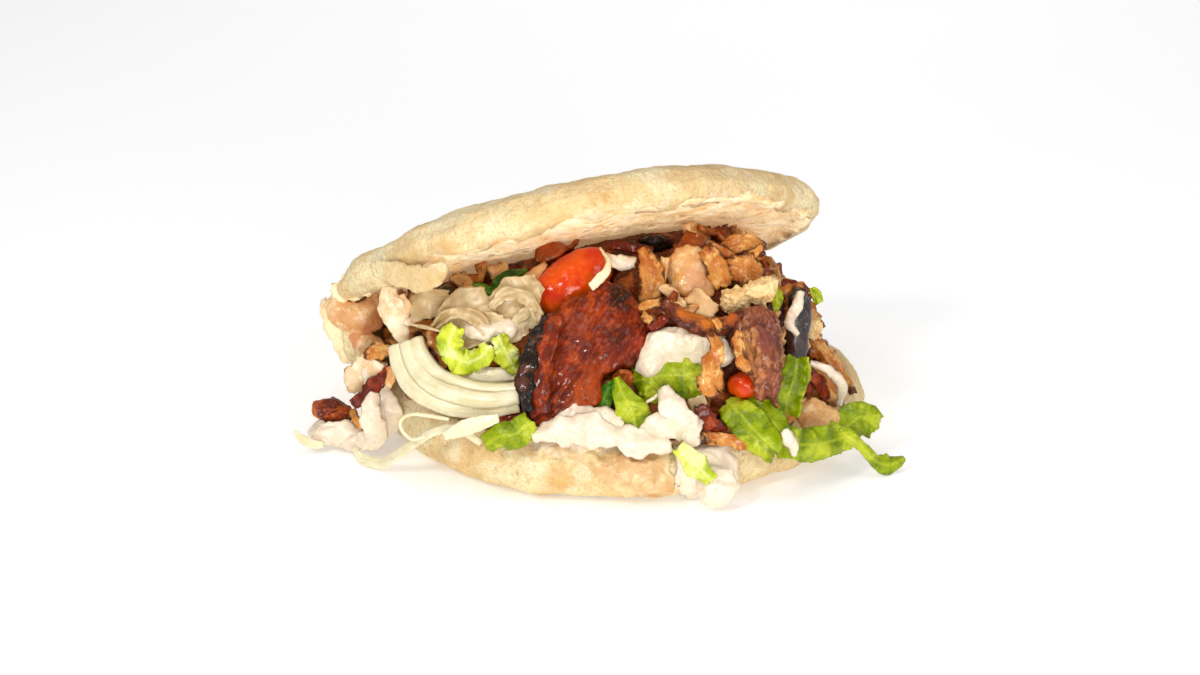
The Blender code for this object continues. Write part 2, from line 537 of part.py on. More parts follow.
def make_salad():
    """Tomato, aubergine, lettuce, herbs and cabbage."""
    lump_piece("tomato_wedge", "tomato", (17.5, 9, 10.5), facing((-19.5, -38, 64), roll=38), bumps=0.06,
               bump_size=14, detail=3, seed=41)
    lump_piece("tomato_bit", "tomato", (6.4, 4.5, 5.0), facing((41, -67, 38)), bumps=0.12, bump_size=7,
               detail=2, seed=43)
    slice_piece("aubergine_slice", "aubergine", oval(21, 10), 4.4,
                facing((36.5, -64, 26.5), roll=-36, lean=35), bow=(1, 2), ripple=0.6, seed=44)
    dark = ((-2.5, 12.5), (1, 15), (5, 11), (5.3, 4), (3.5, -3), (3, -9), (-0.5, -13), (-4.2, -12),
            (-5.2, -6), (-4.2, 1), (-2.8, 7))
    slice_piece("aubergine_strip", "aubergine", dark, 6.0, facing((61, -39, 48), lean=15, yaw=15),
                count=14, bow=(1.5, 1), ripple=0.7, seed=45)
    lump_piece("olive_piece", "aubergine", (4.8, 4.4, 4.4), facing((-63.5, -26, 56), roll=20), bumps=0.2,
               bump_size=5, seed=46)
    leaf = ((-11, 8), (-4.5, 10), (2.4, 8.6), (7.6, 3.5), (8.8, -3.5), (8.6, -9.3), (4, -8.6), (-1, -3.5),
            (-7, 1.7))
    slice_piece("lettuce_right", "lettuce", leaf, 1.3, facing((44.5, -75, 26.5), lean=32, yaw=10), count=18,
                bow=(1.5, 1.5), ripple=1.8, frill=0.5, seed=47)
    strip_piece("lettuce_rib", "lettuce",
                [(53, -76, 20.5), (58.5, -75.5, 16.5), (66, -70, 14), (73.5, -63, 14), (79, -55, 15)],
                (6, 8.5, 8.5, 8, 6), 1.5, face=(0.5, -1, 0.5), count=12)
    slice_piece("lettuce_upright", "lettuce", oval(23, 10.5, taper=0.25), 1.3,
                facing((57, -60, 34.5), roll=72, lean=20, yaw=18), count=16, bow=(1.5, 1), ripple=1.8,
                frill=0.6, seed=48)
    slice_piece("lettuce_curly", "lettuce", oval(20, 15), 1.3, facing((81.5, -47, 12), roll=8, lean=25, yaw=25),
                count=20, bow=(2, 1), ripple=1.5, frill=1.2, ragged=0.18, seed=49)
    strip_piece("rocket_strip", "lettuce",
                [(71.5, -60, 15.5), (78, -61, 12.5), (84.5, -61.5, 8.5), (89, -61, 4.6), (93.5, -58, 3.2),
                 (100, -54, 5.5)],
                (4.5, 5.5, 4, 4, 8, 2), 1.2, face=(0.1, -1, 0.7), count=12)
    slice_piece("lettuce_under_sauce", "lettuce", oval(24, 9, taper=-0.1), 1.3,
                facing((13.8, -69, 39), roll=2, lean=30), count=16, bow=(1, 1.5), ripple=1.8, frill=0.5,
                seed=50)
    strip_piece("lettuce_fold", "lettuce",
                [(-8, -76.5, 38), (-5.5, -78, 40), (-2.5, -78.5, 39), (1, -80, 33), (3.5, -81, 28.5),
                 (-1.5, -82, 26)],
                (7, 9, 8, 8, 7, 3), 1.3, face=(0.3, -1, 0.3), count=14)
    joined("cabbage_shreds", "cabbage",
           strip_form([(-3, -76, 41), (1.5, -78, 38.5), (5, -78.5, 35.5), (8, -78.5, 31)], (2, 2.6, 2.6, 2),
                      1.2, count=6),
           strip_form([(14.8, -76.5, 41.5), (10, -78, 38.5), (4.5, -79, 34.5)], (1.2, 1.4, 1.4), 1.2, count=5))
    slice_piece("lettuce_on_drip", "lettuce", oval(15, 8.5), 1.2, facing((24, -91, 17.3), roll=-38, lean=8),
                count=14, bow=(1, 1), ripple=1.2, frill=0.4, ragged=0.12, seed=52)
    slice_piece("leaf_dark_top", "dark_leaf", oval(21, 8, taper=-0.1), 1.3,
                facing((-45, -33, 61), roll=30, lean=25), bow=(1, 1.5), ripple=1.0, seed=53)
    slice_piece("lettuce_left", "lettuce", oval(17, 11, taper=0.1), 1.4,
                facing((-40.5, -84, 26), roll=14, lean=12), count=16, bow=(1.5, 1.5), ripple=1.0, frill=0.4,
                seed=54)
    curls = ((-12, 2), (-9, 7), (-3, 5), (3, 3.5), (8, 5), (12, 0), (14.5, -7), (11, -8.5), (6, -5), (1, -4),
             (-4, -5), (-9, -4))
    slice_piece("lettuce_curls", "lettuce", curls, 1.6, facing((-50, -58.5, 47), lean=25), count=24,
                shares=(0.5, 1.0), bow=(1, 1), ripple=1.6, frill=1.3, ragged=0.12, seed=55)
    patch = ((-7.5, 0), (-4.5, 5.5), (2.4, 6.3), (7.6, 4), (6.6, -1.5), (3.5, -5.5), (-1, -3.5))
    slice_piece("cabbage_patch", "cabbage", patch, 2.0, facing((-69.5, -38, 55.5), lean=15, yaw=-10),
                count=11, bow=(1, 0.5), ripple=0.6, seed=57)
    slice_piece("cabbage_sheet_left", "cabbage", oval(18, 17), 2.4, facing((-56, -47, 53), roll=30, lean=25),
                bow=(2, 2), ripple=0.8, seed=58)
    sheet = ((-9.5, 2), (-2.5, 8.5), (6, 13), (10, 6), (9.5, -3), (6, -11.5), (-2.5, -8), (-7.5, -5))
    slice_piece("cabbage_sheet_right", "cabbage", sheet, 2.4, facing((-39.5, -47, 57), lean=30),
                count=14, bow=(2, 2), ripple=0.8, seed=59)
    strip_piece("cabbage_on_tomato", "cabbage",
                [(-8.8, -40.5, 79), (-6.2, -47, 76.5), (-8.0, -50.5, 72.5), (-12.8, -53, 69)],
                (1.2, 2.2, 4.0, 3.6), 1.0, count=9)


def make_onion():
    """Raw white onion: a thick layer, a thinner one behind it, and two long strands."""
    strip_piece("onion_thick_layer", "onion",
                [(-78, -48, 46.5), (-76.5, -54, 39.5), (-71, -61, 34.5), (-61, -66.5, 32.8), (-49.5, -69, 33.5),
                 (-37.5, -70, 36)],
                (9, 9.5, 9.5, 9, 8.2, 7.5), 5.4, face=(0.1, -1, 0.55), count=14)
    strip_piece("onion_thin_layer", "onion",
                [(-60.5, -54, 43), (-55, -58, 39.5), (-47, -60, 38.5), (-38, -60, 39.5)],
                (3, 6.5, 7, 6), 3.0, count=9)
    strip_piece("onion_long_strand", "onion",
                [(-96.5, -46, 6), (-93.5, -49, 2.8), (-86.5, -54, 3.2), (-80.5, -60, 8.5), (-73.5, -67, 16.5),
                 (-66.5, -73.5, 23.5), (-60, -77, 26.2), (-54.5, -79.5, 25.5), (-49.5, -82, 22.5)],
                (2, 4.2, 5, 4.6, 4.2, 3.6, 3.2, 3.6, 2.6), 1.6, face=(-0.4, -1, 0.6), count=18)
    strip_piece("onion_looped_strand", "onion",
                [(-60.5, -74.5, 28.6), (-66, -73.6, 29.2), (-72.5, -71, 29.2), (-77, -69.5, 27), (-77.6, -70.5, 23),
                 (-73.5, -73.5, 20.5), (-69, -76, 22.8)],
                (1.5, 1.7, 1.7, 1.7, 1.7, 1.7, 1.4), 1.4, face=(-0.5, -1, 0.4), count=16)


def rim_drape(angle, along, lift):
    """A point over the base's cut rim: along 0 is on the bed behind the rim, 1 is at the rim's foot.
    lift is its distance out from the bread."""
    line = [base_point(angle, *row) for row in BASE_SECTION[1:8]]
    t = max(0.0, min(0.999, along)) * (len(line) - 1)
    i = int(t)
    point = line[i].lerp(line[i + 1], t - i)
    centre = Vector((0.80 * BASE_RADIUS * math.cos(angle), 0.80 * BASE_RADIUS * math.sin(angle), 6.0))
    return point + (point - centre).normalized() * lift


def drape_form(from_deg, to_deg, top, foot, thick, seed, stations=10):
    """Sauce lying over the rim: foot and thick give how far down it runs and how thick it lies, at
    places evenly spaced from from_deg to to_deg."""
    feet = [p.x for p in through([(f, 0, 0) for f in foot], stations)]
    fats = [p.x for p in through([(f, 0, 0) for f in thick], stations)]
    rows = 5
    rings = []
    for k in range(stations):
        angle = math.radians(from_deg + (to_deg - from_deg) * k / (stations - 1))
        outer, inner = [], []
        for n in range(rows):
            along = top + (feet[k] - top) * n / (rows - 1)
            round_off = math.sin(math.pi * (n + 0.35) / (rows - 0.3)) ** 0.5
            lift = fats[k] * round_off + 0.5 * rough((angle * 60, along * 30, 0), 5.0, seed)
            outer.append(rim_drape(angle, along, max(0.5, lift)))
            inner.append(rim_drape(angle, along, -2.5))
        rings.append(outer + inner[::-1])
    first, last = (sum(r, Vector()) / len(r) for r in (rings[0], rings[-1]))
    return closed_loft(rings, first, last)


def make_sauces():
    """Thick white garlic sauce and the crumbly cheese."""
    joined("sauce_blob", "sauce",
           lump_form((17.0, 9.0, 8.2), facing((23, -63, 50.5), roll=-4), 0.18, 9.0, 2, 61),
           lump_form((6.0, 5.5, 5.5), facing((9, -66, 46.5), roll=30), 0.15, 7.0, 2, 62))
    chicken = ((-1, 10), (4.4, 6), (6.8, 1), (8.5, -7.5), (5, -6.5), (0, -7.5), (-6.8, -6.5), (-12, -4.4),
               (-7.8, -1.4), (-5, 2), (-3.7, 6))
    slice_piece("sauced_chicken", "sauce", chicken, 4.4, facing((16, -82.5, 31.5), lean=25), count=18,
                bow=(1, 1), ripple=1.4, seed=63)
    lump_piece("sauce_on_cabbage", "sauce", (10.5, 4.0, 4.2), facing((-45.5, -53, 52.5), roll=6), bumps=0.4,
               bump_size=5.5, seed=64)
    joined("cheese_crumble", "cheese",
           lump_form((7.5, 6.0, 4.8), facing((46.5, -50, 66.5), roll=12), 0.4, 4.0, 2, 65),
           lump_form((6.2, 5.6, 4.8), facing((37.5, -51, 63.5), roll=20), 0.4, 4.0, 2, 66))
    lump_piece("cheese_bit_right", "cheese", (4.0, 4.2, 4.6), facing((68, -13, 38)), bumps=0.35,
               bump_size=4, seed=67)
    joined("sauce_on_rim", "sauce",
           drape_form(-118, -79.5, 0.12, (0.4, 0.5, 0.5, 0.46, 0.62, 0.8, 0.9, 0.9),
                      (1.2, 2.2, 2.4, 2.8, 3.4, 3.4, 2.8, 2.0), 68, stations=12),
           lump_form((12, 5.5, 5.5), facing((-14, -79, 25.5), roll=10), 0.2, 7.0, 2, 69))
    joined("sauce_drip", "sauce",
           drape_form(-79, -63, 0.2, (0.7, 0.94, 0.96, 0.8), (2.0, 3.6, 4.0, 1.6), 70, stations=9),
           lump_form((7.0, 5.0, 7.4), facing((31, -86.5, 8.8), roll=20), 0.12, 8.0, 2, 71))


# From the pieces that lie on top, which keep their whole form, to those that the others press into
ORDER = (
    "bread", "meat_browned_slice", "meat_charred_edge", "onion_looped_strand", "onion_long_strand",
    "onion_thick_layer", "lettuce_on_drip", "sauce_drip", "lettuce_left", "sauced_chicken", "meat_tan_slice",
    "meat_curled_slice", "lettuce_fold", "cabbage_shreds", "meat_crescent", "cheese_crumble",
    "rocket_strip", "lettuce_curly", "lettuce_rib", "lettuce_right", "lettuce_upright", "sauce_on_rim",
    "sauce_blob", "cabbage_on_tomato", "meat_red_strip", "meat_pale_slice", "meat_crisp_edge",
    "meat_folded_strip", "tomato_wedge", "meat_burnt_bit", "tomato_bit",
    "lettuce_under_sauce", "aubergine_strip", "meat_brown_tip", "meat_strip_right",
    "meat_sauced_slice", "meat_pale_flap", "cheese_bit_right", "meat_low_piece", "meat_on_base",
    "aubergine_slice", "lettuce_curls", "sauce_on_cabbage", "onion_thin_layer",
    "meat_sauced_left", "meat_tan_bit_left", "cabbage_sheet_left", "cabbage_sheet_right", "cabbage_patch",
    "meat_red_bit_left", "leaf_dark_top", "olive_piece", "meat_under_onion", "spill_glazed_bit",
    "cabbage_tail", "spill_brown_strip", "spill_pale_slice", "spill_sauced_bit", "meat_in_pocket", "meat_heap",
)


def corners(obj):
    """Lowest and highest corner of an object, in millimetres."""
    spots = [v.co / MM for v in obj.data.vertices]
    return (
        Vector(min(s[k] for s in spots) for k in range(3)),
        Vector(max(s[k] for s in spots) for k in range(3)),
    )


def near(a, b):
    (low_a, high_a), (low_b, high_b) = a, b
    return all(low_a[k] - GAP < high_b[k] and low_b[k] - GAP < high_a[k] for k in range(3))


def grown(mesh, gap):
    """A copy of a form, larger all round by the gap that its neighbours keep from it."""
    form = bmesh.new()
    form.from_mesh(mesh)
    form.normal_update()
    for vert in form.verts:
        vert.co += vert.normal * gap * MM
    larger = bpy.data.meshes.new("cutter")
    form.to_mesh(larger)
    form.free()
    return bpy.data.objects.new("cutter", larger)


def islands_of(form):
    """The faces of a form in groups that hang together, each with the volume it encloses."""
    left = set(form.faces)
    found = []
    while left:
        island, edge = set(), [left.pop()]
        while edge:
            face = edge.pop()
            island.add(face)
            for link in (f for e in face.edges for f in e.link_faces if f in left):
                left.discard(link)
                edge.append(link)
        volume = sum(f.verts[0].co.dot(f.verts[1].co.cross(f.verts[2].co)) for f in island) / 6
        found.append((volume, island))
    return found


def keep_largest(obj):
    """Drops the scraps that a cut leaves loose, and the slivers along its edges where that keeps the
    skin closed."""
    for sliver in (0.06, 0.03, 0.01, 0.001, 0):
        form = bmesh.new()
        form.from_mesh(obj.data)
        bmesh.ops.triangulate(form, faces=form.faces)
        if sliver:
            bmesh.ops.remove_doubles(form, verts=form.verts, dist=sliver * MM)
            bmesh.ops.dissolve_degenerate(form, edges=form.edges, dist=sliver * MM)
            bmesh.ops.triangulate(form, faces=form.faces)
        _, largest = max(islands_of(form), key=lambda pair: pair[0])
        bmesh.ops.delete(form, geom=[f for f in form.faces if f not in largest], context="FACES")
        bmesh.ops.delete(form, geom=[v for v in form.verts if not v.link_faces], context="VERTS")
        closed = all(len(e.link_faces) == 2 for e in form.edges)
        if closed or not sliver:
            form.to_mesh(obj.data)
            form.free()
            return
        form.free()


def thin_out(obj, cell, faces):
    """Gives a carved piece an even skin with cells of a size, and then merges facets until about the
    given number is left."""
    even = obj.modifiers.new("Remesh", "REMESH")
    even.mode = "VOXEL"
    even.voxel_size = cell * MM
    bake(obj)
    fewer = obj.modifiers.new("Decimate", "DECIMATE")
    fewer.ratio = min(1, faces / sum(len(f.vertices) - 2 for f in obj.data.polygons))
    bake(obj)


def press_in(obj, ahead, gap):
    """Cuts from a piece the room that the pieces ahead of it take."""
    cutters = bpy.data.collections.new("ahead of " + obj.name)
    for other in ahead:
        for mesh in WHOLE_FORMS[other.name]:
            cutters.objects.link(grown(mesh, gap))
    cut_with(obj, cutters, "DIFFERENCE")


def settle_pieces():
    """Presses the pieces into each other: each one gives way to those before it in ORDER."""
    pieces = [bpy.data.objects[name] for name in ORDER]
    boxes = [corners(obj) for obj in pieces]
    for k, obj in enumerate(pieces):
        ahead = [pieces[n] for n in range(k) if near(boxes[k], boxes[n])]
        if not ahead:
            continue
        if obj.name == "meat_heap":
            press_in(obj, ahead, HEAP_GAP)
            thin_out(obj, HEAP_CELL, HEAP_FACES)
        press_in(obj, ahead, HEAP_TRIM if obj.name == "meat_heap" else GAP)
        keep_largest(obj)
        boxes[k] = corners(obj)


def main():
    clear_scene()
    make_bread()
    make_meat()
    make_spill()
    make_salad()
    make_onion()
    make_sauces()
    make_heap()
    settle_pieces()


main()
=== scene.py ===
# %% [markdown]
# # A doner kebab sandwich
# The sandwich is a round flatbread that was slit open and turned up like a jaw. Its mouth is full of shaved
# meat, lettuce, onion, tomato, cabbage and white garlic sauce. The frame already holds one plain solid for
# each piece of food, at its true place. This lesson gives every one of them its skin: rounded, torn, fibrous
# or wet, and then its finish. We start by loading the frame.

# %% load the frame
import itertools
import math
import random

import bpy
import numpy as np
from mathutils import Matrix, Vector
from mathutils.bvhtree import BVHTree


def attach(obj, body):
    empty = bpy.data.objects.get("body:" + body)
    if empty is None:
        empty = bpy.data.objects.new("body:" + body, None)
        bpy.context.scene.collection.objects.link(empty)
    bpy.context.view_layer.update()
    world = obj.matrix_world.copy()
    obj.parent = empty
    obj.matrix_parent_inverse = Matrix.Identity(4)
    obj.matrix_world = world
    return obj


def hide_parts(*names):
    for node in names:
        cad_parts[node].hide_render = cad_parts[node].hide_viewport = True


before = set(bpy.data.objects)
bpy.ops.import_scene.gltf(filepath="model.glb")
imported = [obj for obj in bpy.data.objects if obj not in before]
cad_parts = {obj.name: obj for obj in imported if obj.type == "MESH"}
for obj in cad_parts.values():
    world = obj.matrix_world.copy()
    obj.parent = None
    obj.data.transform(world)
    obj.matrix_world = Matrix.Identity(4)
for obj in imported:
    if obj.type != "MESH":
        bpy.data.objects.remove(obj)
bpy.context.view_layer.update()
MM = 0.001
chance = random.Random(7)
SEEDS = itertools.count(1)
print("pieces in the frame:", len(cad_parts))

# %% [markdown]
# ## The camera, the floor and the light
# The photo looks down on the open mouth from about 21 degrees above the table, from more than a metre away,
# so a long lens keeps the bread's curve calm. The sandwich lies on a pale table under soft studio light: a
# wide lamp overhead makes the shadows faint, and a smaller one at the left front puts the wet gleams on meat,
# tomato and sauce. A low lamp in front lights the lid's underside. The Standard view keeps the colours of
# food as strong as they are, where Blender's usual view would wash them out.

# %% the camera
CAMERA_HEIGHT = math.radians(21.0)
CAMERA_DISTANCE = 1.1
CAMERA_TARGET = Vector((-9.0, 0.0, 30.0)) * MM
CAMERA_LENS = 90.0


def aim(obj, place, target):
    """Puts a camera or lamp at a place and turns it to look at the target."""
    obj.location = place
    obj.rotation_euler = (target - place).to_track_quat("-Z", "Y").to_euler()


bpy.ops.object.camera_add()
camera = bpy.context.object
camera.data.lens = CAMERA_LENS
camera.data.sensor_width = 36.0
camera.data.clip_start = 0.01
back_up = Vector((0, -math.cos(CAMERA_HEIGHT), math.sin(CAMERA_HEIGHT)))
aim(camera, CAMERA_TARGET + back_up * CAMERA_DISTANCE, CAMERA_TARGET)
bpy.context.scene.camera = camera
print("camera distance in metres:", CAMERA_DISTANCE)


# %% lamps and sky
def lamp(name, place, size, power, tint=(1.0, 1.0, 1.0)):
    """A square soft lamp aimed at the sandwich."""
    bpy.ops.object.light_add(type="AREA")
    made = bpy.context.object
    made.name = name
    made.data.size = size
    made.data.energy = power
    made.data.color = tint
    aim(made, Vector(place), Vector((0, 0, 0.04)))


lamp("lamp_overhead", (-0.15, -0.35, 1.1), 0.7, 2.6)
lamp("lamp_front_left", (-0.5, -0.8, 0.7), 0.2, 4.0, (1.0, 0.98, 0.94))
lamp("lamp_front_low", (0.15, -1.0, 0.12), 0.5, 6.4, (1.0, 0.97, 0.92))
lamp("lamp_right", (0.8, -0.45, 0.45), 0.4, 1.8)
lamp("lamp_behind", (0.1, 0.9, 0.6), 0.6, 1.8)
sky = bpy.data.worlds.new("studio")
bpy.context.scene.world = sky
sky.use_nodes = True
sky.node_tree.nodes["Background"].inputs["Color"].default_value = (1, 1, 1, 1)
sky.node_tree.nodes["Background"].inputs["Strength"].default_value = 0.36
bpy.context.scene.view_settings.view_transform = "Standard"
print("lamps:", len(bpy.data.lights))

# %% [markdown]
# ## A small language for finishes
# Every finish below is a formula over the surface: noise, speckles and blends. Blender keeps such a formula
# as nodes, which take many lines to wire by hand. So one small class, Wire, stands for a node's output, and
# adding or multiplying two wires adds the Math node that does it. Another, Finish, is a material in the
# making. Numbers that are the same all over a surface are set on the shader itself.

# %% a wire
class Wire:
    """A node's output. Arithmetic on it adds Math nodes."""

    def __init__(self, finish, socket):
        self.finish = finish
        self.socket = socket

    def math(self, operation, *values):
        return self.finish.add("ShaderNodeMath", values, operation=operation)

    def __add__(self, other):
        return self.math("ADD", self, other)

    def __sub__(self, other):
        return self.math("SUBTRACT", self, other)

    def __rsub__(self, other):
        return self.math("SUBTRACT", other, self)

    def __mul__(self, other):
        return self.math("MULTIPLY", self, other)

    def __abs__(self):
        return self.math("ABSOLUTE", self)

    def sine(self):
        return self.math("SINE", self)

    __radd__ = __add__
    __rmul__ = __mul__


# %% colours as seen on a screen
def rgb(red, green, blue):
    """A colour as seen on a screen, from 0 to 255, turned into the light that Blender works in."""
    shares = (red / 255, green / 255, blue / 255)
    return tuple(c / 12.92 if c <= 0.04045 else ((c + 0.055) / 1.055) ** 2.4 for c in shares)


# %% a finish in the making
class Finish:
    """A material in the making. place is the point on the object, in millimetres."""

    def __init__(self, name):
        self.material = bpy.data.materials.new(name)
        self.material.use_nodes = True
        self.tree = self.material.node_tree
        self.shader = self.tree.nodes["Principled BSDF"]
        spot = self.add("ShaderNodeTexCoord", output="Object")
        self.place = self.times(spot, 1 / MM)

    def add(self, kind, values=(), output=0, **settings):
        """Adds a node: first its settings, then the value or wire of each socket, in order or by name."""
        node = self.tree.nodes.new(kind)
        for key, value in settings.items():
            setattr(node, key, value)
        pairs = values.items() if isinstance(values, dict) else enumerate(values)
        for key, value in pairs:
            self.feed(node.inputs[key], value)
        return Wire(self, node.outputs[output])

    def feed(self, socket, value):
        """Sets a socket to a number or colour, or links a wire to it."""
        if isinstance(value, Wire):
            self.tree.links.new(value.socket, socket)
        elif isinstance(value, tuple) and socket.type == "RGBA":
            socket.default_value = (*value[:3], 1)
        else:
            socket.default_value = value

    def times(self, vector, factor):
        """A vector made longer by a number, or by a triple of numbers along each axis."""
        if isinstance(factor, tuple):
            return self.add("ShaderNodeVectorMath", (vector, factor), operation="MULTIPLY")
        return self.add("ShaderNodeVectorMath", {"Vector": vector, "Scale": factor}, operation="SCALE")

    def part(self, vector, axis):
        """One component of a vector."""
        return self.add("ShaderNodeSeparateXYZ", (vector,), output="XYZ".index(axis))

    def grain(self):
        """The piece's own coordinates in millimetres: along it, across it and through it."""
        return self.add("ShaderNodeAttribute", output="Vector", attribute_name="grain")

    def kept(self, name):
        """A number that the piece keeps at each of its points, such as how near its rim a point is."""
        return self.add("ShaderNodeAttribute", output="Fac", attribute_name=name)

    def noise(self, size, where=None, detail=3.0, rough=0.55, swirl=0.0):
        """Cloudy noise around 0.5, with lumps about size millimetres wide."""
        values = {"Vector": where or self.place, "Scale": 1 / size, "Detail": detail, "Roughness": rough,
                  "Distortion": swirl}
        return self.add("ShaderNodeTexNoise", values)

    def cells(self, size, where=None):
        """Distance to the nearest of many scattered points, about size millimetres apart."""
        values = {"Vector": where or self.place, "Scale": 1 / size}
        return self.add("ShaderNodeTexVoronoi", values, output="Distance", feature="F1")

    def ramp(self, value, low, high):
        """0 below low, 1 above high and a smooth step between."""
        values = {"Value": value, "From Min": low, "From Max": high}
        return self.add("ShaderNodeMapRange", values, interpolation_type="SMOOTHSTEP")

    def blend(self, amount, first, second):
        """A colour between two others."""
        node = self.tree.nodes.new("ShaderNodeMix")
        node.data_type = "RGBA"
        for key, value in ((0, amount), (6, first), (7, second)):
            self.feed(node.inputs[key], value)
        return Wire(self, node.outputs[2])

    def flecks(self, apart, radius, where=None):
        """1 inside small dots about apart millimetres from each other, and 0 outside."""
        return 1 - self.ramp(self.cells(apart, where) * apart, radius * 0.6, radius)

    def spot(self, x, y, z, radius, softness=0.5):
        """1 near a place on the object, in millimetres, fading out at the radius with an uneven edge."""
        away = self.add("ShaderNodeVectorMath", (self.place, (x, y, z)), output="Value", operation="DISTANCE")
        away = away + (self.noise(radius * 0.6) - 0.5) * radius * 0.9
        return 1 - self.ramp(away, radius * softness, radius)

    def bump(self, height, depth, over=None):
        """Small relief: height from 0 to 1, depth in millimetres, on top of an earlier bump."""
        values = {"Strength": 1.0, "Distance": depth * MM, "Height": height}
        if over:
            values["Normal"] = over
        return self.add("ShaderNodeBump", values)

    def done(self, colour, roughness=0.5, normal=None, **constants):
        """Wires the shader and gives the material back."""
        self.feed(self.shader.inputs["Base Color"], colour)
        self.feed(self.shader.inputs["Roughness"], roughness)
        if normal:
            self.feed(self.shader.inputs["Normal"], normal)
        for key, value in constants.items():
            self.feed(self.shader.inputs[key.replace("_", " ")], value)
        return self.material


# %% [markdown]
# ## The floor
# A wide pale table top stands under the sandwich. It glows a little, as a white sweep lit from behind does,
# so that it stays white round a soft shadow. It is only a stage and no part of the food.

# %% the floor
FLOOR_SIZE = 6.0
FLOOR_DROP = 0.2 * MM
bpy.ops.mesh.primitive_plane_add(size=FLOOR_SIZE, location=(0, 0, -FLOOR_DROP))
floor = bpy.context.object
floor.name = "floor"
floor_finish = Finish("pale_table")
floor_tone = floor_finish.blend(floor_finish.noise(300.0), rgb(250, 250, 250), rgb(246, 247, 249))
table_top = floor_finish.done(floor_tone, 0.8, Emission_Color=(1, 1, 1), Emission_Strength=0.25)
floor.data.materials.append(table_top)
print("floor width in metres:", FLOOR_SIZE)


# %% [markdown]
# ## Turning a plain solid into food
# A plain solid has the right place and outline, but flat facets. By hand one would copy it, merge its loose
# corners, give it an even fine skin with a voxel remesh, relax that skin, and then push it in and out with
# cloud textures: a large one for the wobble, a stretched one for fibres and a fine one for the torn edge. The
# functions below are those strokes. Each ends with its modifier applied, so a finished piece is plain mesh.

# %% select one piece and use a modifier on it
def alone(obj):
    """Selects one object and nothing else."""
    bpy.ops.object.select_all(action="DESELECT")
    obj.select_set(True)
    bpy.context.view_layer.objects.active = obj


def use(obj, kind, **settings):
    """Adds a modifier with these settings and applies it."""
    alone(obj)
    step = obj.modifiers.new(kind.title(), kind)
    for key, value in settings.items():
        setattr(step, key, value)
    bpy.ops.object.modifier_apply(modifier=step.name)


# %% a fresh skin over a plain solid
def moulded(node, cell, relax=6):
    """A copy of a node from the frame: merged, with an even skin of small squares, and relaxed."""
    piece = bpy.data.objects.new(node + "_shown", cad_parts[node].data.copy())
    bpy.context.scene.collection.objects.link(piece)
    piece.data.materials.clear()
    alone(piece)
    bpy.ops.object.mode_set(mode="EDIT")
    bpy.ops.mesh.select_all(action="SELECT")
    bpy.ops.mesh.remove_doubles(threshold=0.001 * MM)
    bpy.ops.object.mode_set(mode="OBJECT")
    use(piece, "REMESH", mode="VOXEL", voxel_size=cell * MM)
    use(piece, "SMOOTH", factor=0.5, iterations=relax)
    return piece


def points_of(piece):
    """The piece's points as rows of x, y, z in millimetres."""
    flat = np.zeros(len(piece.data.vertices) * 3)
    piece.data.vertices.foreach_get("co", flat)
    return flat.reshape(-1, 3) / MM


# %% a piece's own axes
def own_axes(piece):
    """The middle of a piece and its own axes: the way it is longest, then wide, then thin."""
    points = points_of(piece)
    middle = points.mean(axis=0)
    _, axes = np.linalg.eigh(np.cov((points - middle).T))
    axes = axes[:, ::-1]
    if np.linalg.det(axes) < 0:
        axes[:, 2] *= -1
    return middle, axes


# %% push the skin with cloud noise
def push(piece, size, depth, sideways=False, stretch=None, sharp=False, group="", seed=0, detail=2):
    """Moves the skin by cloud noise about size millimetres wide, up to depth millimetres out or in.
    sideways moves both faces of a thin piece the same way. stretch lengthens the noise along the piece."""
    clouds = bpy.data.textures.new("clouds", "CLOUDS")
    clouds.noise_scale = 1.0
    clouds.noise_depth = detail
    clouds.noise_type = "HARD_NOISE" if sharp else "SOFT_NOISE"
    clouds.cloud_type = "COLOR" if sideways else "GRAYSCALE"
    middle, axes = own_axes(piece)
    guide = bpy.data.objects.new("guide", None)
    bpy.context.scene.collection.objects.link(guide)
    scale = [size * MM * k for k in (stretch or (1, 1, 1))]
    turn = Matrix(axes.tolist()).to_4x4()
    guide.matrix_world = Matrix.Translation(Vector(middle) * MM) @ turn @ Matrix.Diagonal((*scale, 1))
    guide.location += Vector((seed * 0.0371, seed * 0.0173, 0))
    bpy.context.view_layer.update()
    use(piece, "DISPLACE", texture=clouds, texture_coords="OBJECT", texture_coords_object=guide,
        strength=2 * depth * MM, mid_level=0.5, direction="RGB_TO_XYZ" if sideways else "NORMAL",
        vertex_group=group)
    bpy.data.objects.remove(guide)
    bpy.data.textures.remove(clouds)


# %% weigh some points more than others
def weigh(piece, name, weights):
    """A vertex group from an array with a weight for each point."""
    group = piece.vertex_groups.new(name=name)
    levels = np.round(np.clip(weights, 0, 1) * 20).astype(int)
    for level in range(1, 21):
        group.add(np.nonzero(levels == level)[0].tolist(), level / 20, "REPLACE")
    return name


def rim_share(piece):
    """How far each point lies from the piece's middle towards its rim, from 0 to 1."""
    middle, axes = own_axes(piece)
    local = (points_of(piece) - middle) @ axes
    half = np.abs(local[:, :2]).max(axis=0)
    return np.sqrt(((local[:, :2] / half) ** 2).sum(axis=1)).clip(0, 1)


